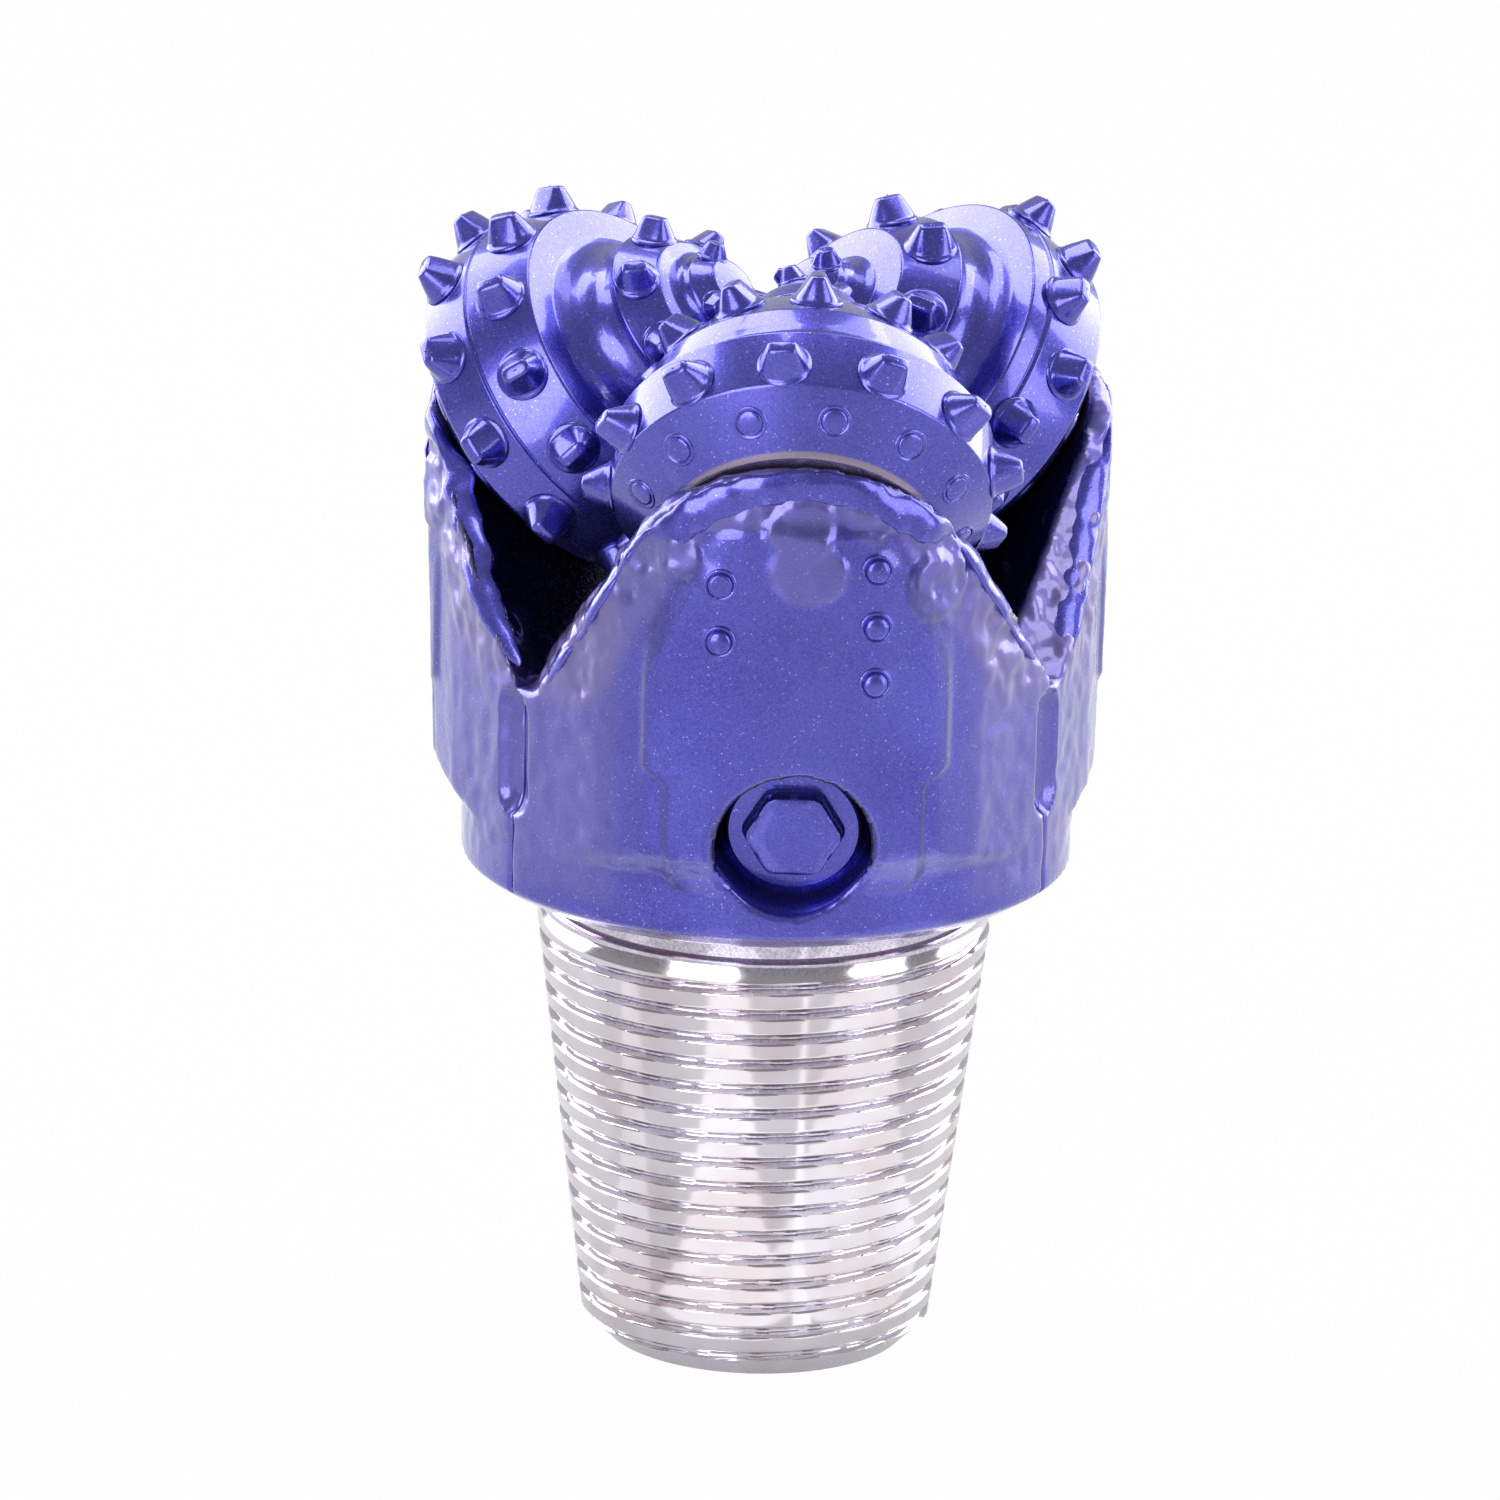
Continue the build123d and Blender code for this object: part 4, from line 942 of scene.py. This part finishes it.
class BitLegs(bpy.types.PropertyGroup):
    voxel_mm: number("Grain", "Size of the even remesh", 0.8)
    offset_mm: number("Offset", "Sideways shift of the arm", 5.5)
    arch_top_mm: number("Arch top", "Height of the arm's arch", 95.8)
    arch_half_mm: number("Arch half width", "Half width at the spring", 27.8)
    spring_mm: number("Spring", "Height where the arch starts", 83.5)
    valley_half_mm: number("Valley half width", "Half width at the valley", 49.0)
    valley_mm: number("Valley", "Height of the valley", 43.5)
    pocket_mm: number("Pocket", "Height of the reservoir pocket", 22.4)
    pocket_tilt: number("Pocket tilt", "How far the mouth looks down", 12.0)
    body_mm: number("Body", "Body radius", 57.9)
    face_t_mm: number("Leg face", "Leg face from the apex", 64.8)
    plate_half_mm: number("Plate half width", "Above the reservoir", 28.0)
    foot_half_mm: number("Foot half width", "Round the reservoir", 23.7)
    plate_foot_mm: number("Plate foot", "Height of the plate's foot", 12.5)
    plate_rise_mm: number("Plate rise", "How far the plate stands out", 0.8)
    seam_left_mm: number("Left seam", "Bead's end from the middle", 50.0)
    seam_right_mm: number("Right seam", "Bead's end from the middle", 44.5)
    cap_hex_mm: number("Cap hexagon", "Across the cap's flats", 16.4)
    cap_rim_mm: number("Cap rim", "Radius of the cap's disc", 12.4)
    cap_disc_mm: number("Cap disc", "Thickness of the cap's disc", 4.0)
    cap_rise_mm: number("Cap rise", "Height of the cap's hexagon", 3.4)
    cap_from_mm: number("Cap seat", "Cap's foot along the pocket", 50.5)
    bead_mm: number("Bead width", "Width of the weld on the edge", 6.4)
    bead_inset_mm: number("Bead inset", "Bead's middle from the edge", 3.3)
    button_y_mm: number("Button spacing", "Buttons from the arm's middle", 14.4)
    button_rise_mm: number("Button rise", "How far leg buttons stand out", 1.1)


class BitStage(bpy.types.PropertyGroup):
    lens_mm: number("Lens", "Focal length of the camera", 253.0)
    distance_m: FloatProperty(name="Distance", description="Camera to target", default=2.0, unit="LENGTH")
    elevation: number("Elevation", "Camera angle above level", 16.67)
    azimuth: number("Azimuth", "Camera turn about the bit", 0.54)
    roll: number("Roll", "Camera roll in degrees", 1.337)
    target_x_mm: number("Target X", "Centre of view", -3.38)
    target_z_mm: number("Target Z", "Height of the centre of view", 22.6)


# ---------------------------------------------------------------- operators

class BIT_OT_stage(bpy.types.Operator):
    """Pale floor, soft boxes and the camera"""
    bl_idname = "bit.stage"
    bl_label = "Stage"

    def execute(self, context):
        low = min(v[2] for v in CAD_BOX)
        build_floor(low)
        build_lights()
        build_camera()
        context.scene.view_settings.view_transform = "Standard"
        return {"FINISHED"}


def build_floor(low):
    """Floor that sweeps up behind into a wall: a straight run, a quarter circle and a wall."""
    half, depth, radius = 3.0, 2.5, 1.0
    turn = np.linspace(0, math.pi / 2, 17)
    y = np.concatenate(([-half], depth - radius + radius * np.sin(turn), [depth]))
    z = np.concatenate(([0], radius * (1 - np.cos(turn)), [4.0])) + low
    rows = np.stack((y, z), axis=1)
    points = np.array([[(x, yy, zz) for x in (-4.0, 4.0)] for yy, zz in rows])
    mesh = bpy.data.meshes.new("floor")
    mesh.from_pydata(points.reshape(-1, 3).tolist(), [], grid_faces(len(rows), 2, False, False).tolist())
    mesh.shade_smooth()
    material, tree, shader, _ = new_material("white_paper_sweep")
    shader.inputs["Base Color"].default_value = linear("#C0C0C3")
    shader.inputs["Roughness"].default_value = 0.9
    glow = add(tree, "ShaderNodeEmission", {}, {"Color": (1, 1, 1, 1), "Strength": 1.0})
    paths = add(tree, "ShaderNodeLightPath")
    mirrored = add(tree, "ShaderNodeMath", {"operation": "MULTIPLY"},
                   {0: paths.outputs["Is Glossy Ray"], 1: 0.3}).outputs[0]
    share = add(tree, "ShaderNodeMath", {"operation": "MULTIPLY_ADD"},
                {0: paths.outputs["Is Camera Ray"], 1: 0.98, 2: mirrored}).outputs[0]
    both = add(tree, "ShaderNodeMixShader", {}, {0: share, 1: shader.outputs[0], 2: glow.outputs[0]})
    output = next(n for n in tree.nodes if n.type == "OUTPUT_MATERIAL")
    tree.links.new(both.outputs[0], output.inputs["Surface"])
    mesh.materials.append(material)
    linked("floor", mesh)


# Upright lamps round the bit: turn from the camera and width in degrees, height of the face and of
# its middle in metres, radiance. The gap right of the camera gives metal its dark band.
BOX_REACH = 1.5
BOXES = {
    "front_left_box": (-30.0, 34.0, 1.5, 0.4, 3.8),
    "front_right_box": (62.0, 30.0, 1.4, 0.4, 2.9),
    "back_left_box": (-122.0, 50.0, 1.7, 0.6, 3.8),
    "back_right_box": (124.0, 50.0, 1.7, 0.6, 3.8),
}
# Lamps that lie on the floor in front of the bit and face up, for the pin's upright streaks: turn
# from the camera in degrees, width in metres, radiance. Each runs away from the pin.
STRIP_LONG, STRIP_MIDDLE = 0.26, 0.175
STRIPS = {
    "floor_left_strip": (-15.0, 0.055, 0.5),
    "floor_thin_strip": (21.0, 0.007, 0.6),
    "floor_right_strip": (52.0, 0.1, 0.4),
    "floor_far_strip": (-66.0, 0.03, 0.25),
}


def build_lights():
    """Upright boxes, two boxes overhead, strips on the floor and a pale room, white to the camera."""
    for name, (turn, degrees, tall, height, bright) in BOXES.items():
        turn = math.radians(turn)
        wide = 2 * BOX_REACH * math.tan(math.radians(degrees / 2))
        place = (BOX_REACH * math.sin(turn), -BOX_REACH * math.cos(turn), height)
        soft_box(name, place, (wide, tall), bright)
    soft_box("top_left_box", (-0.3, 0.5, 1.4), (0.44, 1.0), 4.4)
    soft_box("top_right_box", (0.52, 0.5, 1.3), (0.4, 1.0), 2.4)
    low = -bpy.context.scene.bit_thread.length_mm * MM + 0.002
    for name, (turn, wide, bright) in STRIPS.items():
        turn = math.radians(turn)
        away = np.array((math.sin(turn), -math.cos(turn), 0))
        axes = np.stack((np.cross(away, (0, 0, -1)), away, (0, 0, -1)), axis=1)
        lamp(name, STRIP_MIDDLE * away + (0, 0, low), Matrix(axes.tolist()), (wide, STRIP_LONG), bright)
    world = bpy.data.worlds.new("white_room")
    bpy.context.scene.world = world
    world.use_nodes = True
    tree = world.node_tree
    tree.nodes.clear()
    paths = add(tree, "ShaderNodeLightPath")
    room = add(tree, "ShaderNodeBackground", {}, {"Color": linear("#F2F3F8"), "Strength": 0.36})
    white = add(tree, "ShaderNodeBackground", {}, {"Color": (1, 1, 1, 1), "Strength": 1.0})
    both = add(tree, "ShaderNodeMixShader", {}, {0: paths.outputs["Is Camera Ray"], 1: room.outputs[0],
                                                 2: white.outputs[0]})
    add(tree, "ShaderNodeOutputWorld", {}, {"Surface": both.outputs[0]})


def lamp(name, place, axes, size, bright):
    """Rectangular lamp that shines along the -Z of its axes; bright is its face's radiance, so its
    power grows with its size."""
    light = bpy.data.lights.new(name, "AREA")
    light.shape, (light.size, light.size_y) = "RECTANGLE", size
    light.energy = math.pi * size[0] * size[1] * bright
    linked(name, light).matrix_world = Matrix.Translation(place) @ axes.to_4x4()


def soft_box(name, place, size, bright):
    """Lamp aimed at the bit."""
    lamp(name, place, look_along(np.array((0, 0, 0.02)) - place), size, bright)


def look_along(direction):
    """Rotation whose -Z looks along a direction, with X level."""
    back = -np.array(direction, float) / np.linalg.norm(direction)
    right = np.cross((0, 0, 1), back)
    right = right / np.linalg.norm(right) if np.linalg.norm(right) > 1e-6 else np.array((1.0, 0, 0))
    return Matrix(np.stack((right, np.cross(back, right), back), axis=1).tolist())


def build_camera():
    """Long lens from the front, a little above, rolled slightly."""
    view = bpy.context.scene.bit_stage
    up_angle, turn = math.radians(view.elevation), math.radians(view.azimuth - 90)
    away = np.array((math.cos(turn) * math.cos(up_angle), math.sin(turn) * math.cos(up_angle),
                     math.sin(up_angle)))
    target = np.array((view.target_x_mm, 0, view.target_z_mm)) * MM
    data = bpy.data.cameras.new("camera")
    data.lens, data.sensor_width, data.clip_end = view.lens_mm, 36.0, 50.0
    camera = linked("camera", data)
    roll = Matrix.Rotation(math.radians(view.roll), 3, "Z")
    camera.matrix_world = Matrix.Translation(target + away * view.distance_m) @ (
        look_along(-away) @ roll).to_4x4()
    bpy.context.scene.camera = camera


class BIT_OT_legs(bpy.types.Operator):
    """Forged legs with fused edges, weld patches and painted shade in their hollows"""
    bl_idname = "bit.legs"
    bl_label = "Legs"

    def execute(self, context):
        coat = enamel("violet_enamel_on_forging", 1.1, 0.03, forged=True)
        bright = enamel("violet_enamel_on_weld", 1.4, 0.03)
        for leg in LEGS:
            piece = build_leg(leg)
            piece.data.materials.clear()
            piece.data.materials.append(coat)
            shown(piece, "bit_body", "painted_forging", f"leg_{leg}", f"ball_plug_{leg}")
            weld = build_edge_bead(leg, piece)
            weld.data.materials.append(bright)
            shown(weld, "bit_body", "painted_forging")
            buttons = build_leg_buttons(leg, piece)
            buttons.data.materials.append(bright)
            shown(buttons, "bit_body", "painted_carbide", f"leg_buttons_{leg}")
            cap = build_cap(leg)
            cap.data.materials.append(bright)
            shown(cap, "bit_body", "painted_cap", f"reservoir_cap_{leg}")
        return {"FINISHED"}


class BIT_OT_thread(bpy.types.Operator):
    """Tapered thread on the pin"""
    bl_idname = "bit.thread"
    bl_label = "Thread"

    def execute(self, context):
        piece = build_pin()
        piece.data.materials.append(machined_steel())
        shown(piece, "bit_body", "bare_steel")
        return {"FINISHED"}


class BIT_OT_cones(bpy.types.Operator):
    """Turned cones"""
    bl_idname = "bit.cones"
    bl_label = "Cones"

    def execute(self, context):
        for leg in LEGS:
            origin, axes = journal_frame(leg)
            coat = enamel(f"violet_enamel_on_turned_steel_{leg}", 0.7, 0.015,
                          turned=(origin * MM, axes[:, 2]))
            piece = build_cone(leg)
            piece.data.materials.append(coat)
            shown(piece, f"cone_{leg}", "painted_cone", f"cone_{leg}")
        return {"FINISHED"}


class BIT_OT_carbide(bpy.types.Operator):
    """Inserts and heel buttons of the three cones"""
    bl_idname = "bit.carbide"
    bl_label = "Carbide"

    def execute(self, context):
        coat = enamel("violet_enamel_on_carbide", 0.9, 0.03)
        kinds = (("gauge_inserts", gauge_row), ("inner_inserts", inner_rows),
                 ("nose_inserts", nose_row), ("heel_buttons", heel_row))
        for leg in LEGS:
            origin, axes = journal_frame(leg)
            for node, rows in kinds:
                points, faces = rows(CUTTERS[leg])
                piece = mesh_object(f"{node}_skin_{leg}", points @ axes.T + origin, faces, 60)
                piece.data.materials.append(coat)
                shown(piece, f"cone_{leg}", "painted_carbide", f"{node}_{leg}")
        return {"FINISHED"}


class BIT_OT_fittings(bpy.types.Operator):
    """Finish of the pieces that keep their CAD shape"""
    bl_idname = "bit.fittings"
    bl_label = "Fittings"

    def execute(self, context):
        ground = plain_metal("ground_bearing_steel", "#C9C8C6", "#B4B2B0", 0.22)
        finishes = {
            "retaining_balls": ground,
            "reservoir_cup": ground, "nozzle_ring": ground,
            # The snap ring is near-black: its own dark steel, and painted shade for the pocket round the
            # cap.
            "snap_ring": plain_metal("dark_spring_steel_with_pocket_shade", "#0B0A10", "#16141D", 0.5),
            "journal_bush": plain_metal("silvered_bronze", "#C8A878", "#B8935F", 0.3),
            "diaphragm": nitrile(),
            "center_nozzle": plain_metal("ground_sintered_carbide", "#6E6E74", "#5A5A60", 0.3),
        }
        finishes["nose_bush"] = finishes["thrust_washer"] = finishes["journal_bush"]
        finishes["seal_ring"] = finishes["nozzle_seal"] = finishes["diaphragm"]
        for name, node in frame["nodes"].items():
            finish = finishes.get(name.rstrip("_123"))
            if finish is not None:
                node.data.materials.clear()
                node.data.materials.append(finish)
        return {"FINISHED"}


class BIT_PT_panel(bpy.types.Panel):
    """The bit's operators and settings"""
    bl_idname = "BIT_PT_panel"
    bl_label = "Rock bit"
    bl_space_type = "VIEW_3D"
    bl_region_type = "UI"
    bl_category = "Rock bit"

    def draw(self, context):
        for operator in OPERATORS:
            self.layout.operator(operator.bl_idname)
        for name, group in GROUPS.items():
            box = self.layout.box()
            box.label(text=group.__name__)
            for prop in group.__annotations__:
                box.prop(getattr(context.scene, name), prop)


GROUPS = {"bit_paint": BitPaint, "bit_thread": BitThread, "bit_cutters": BitCutters,
          "bit_carbide": BitCarbide, "bit_legs": BitLegs, "bit_stage": BitStage}
OPERATORS = (BIT_OT_stage, BIT_OT_fittings, BIT_OT_legs, BIT_OT_thread, BIT_OT_cones, BIT_OT_carbide)


def register():
    for cls in (*GROUPS.values(), *OPERATORS, BIT_PT_panel):
        bpy.utils.register_class(cls)
    for name, group in GROUPS.items():
        setattr(bpy.types.Scene, name, PointerProperty(type=group))


def unregister():
    for name in GROUPS:
        delattr(bpy.types.Scene, name)
    for cls in (BIT_PT_panel, *OPERATORS[::-1], *list(GROUPS.values())[::-1]):
        bpy.utils.unregister_class(cls)


def main():
    register()
    bpy.ops.bit.stage()
    bpy.ops.bit.fittings()
    bpy.ops.bit.legs()
    bpy.ops.bit.thread()
    bpy.ops.bit.cones()
    bpy.ops.bit.carbide()


if __name__ == "__main__":
    main()
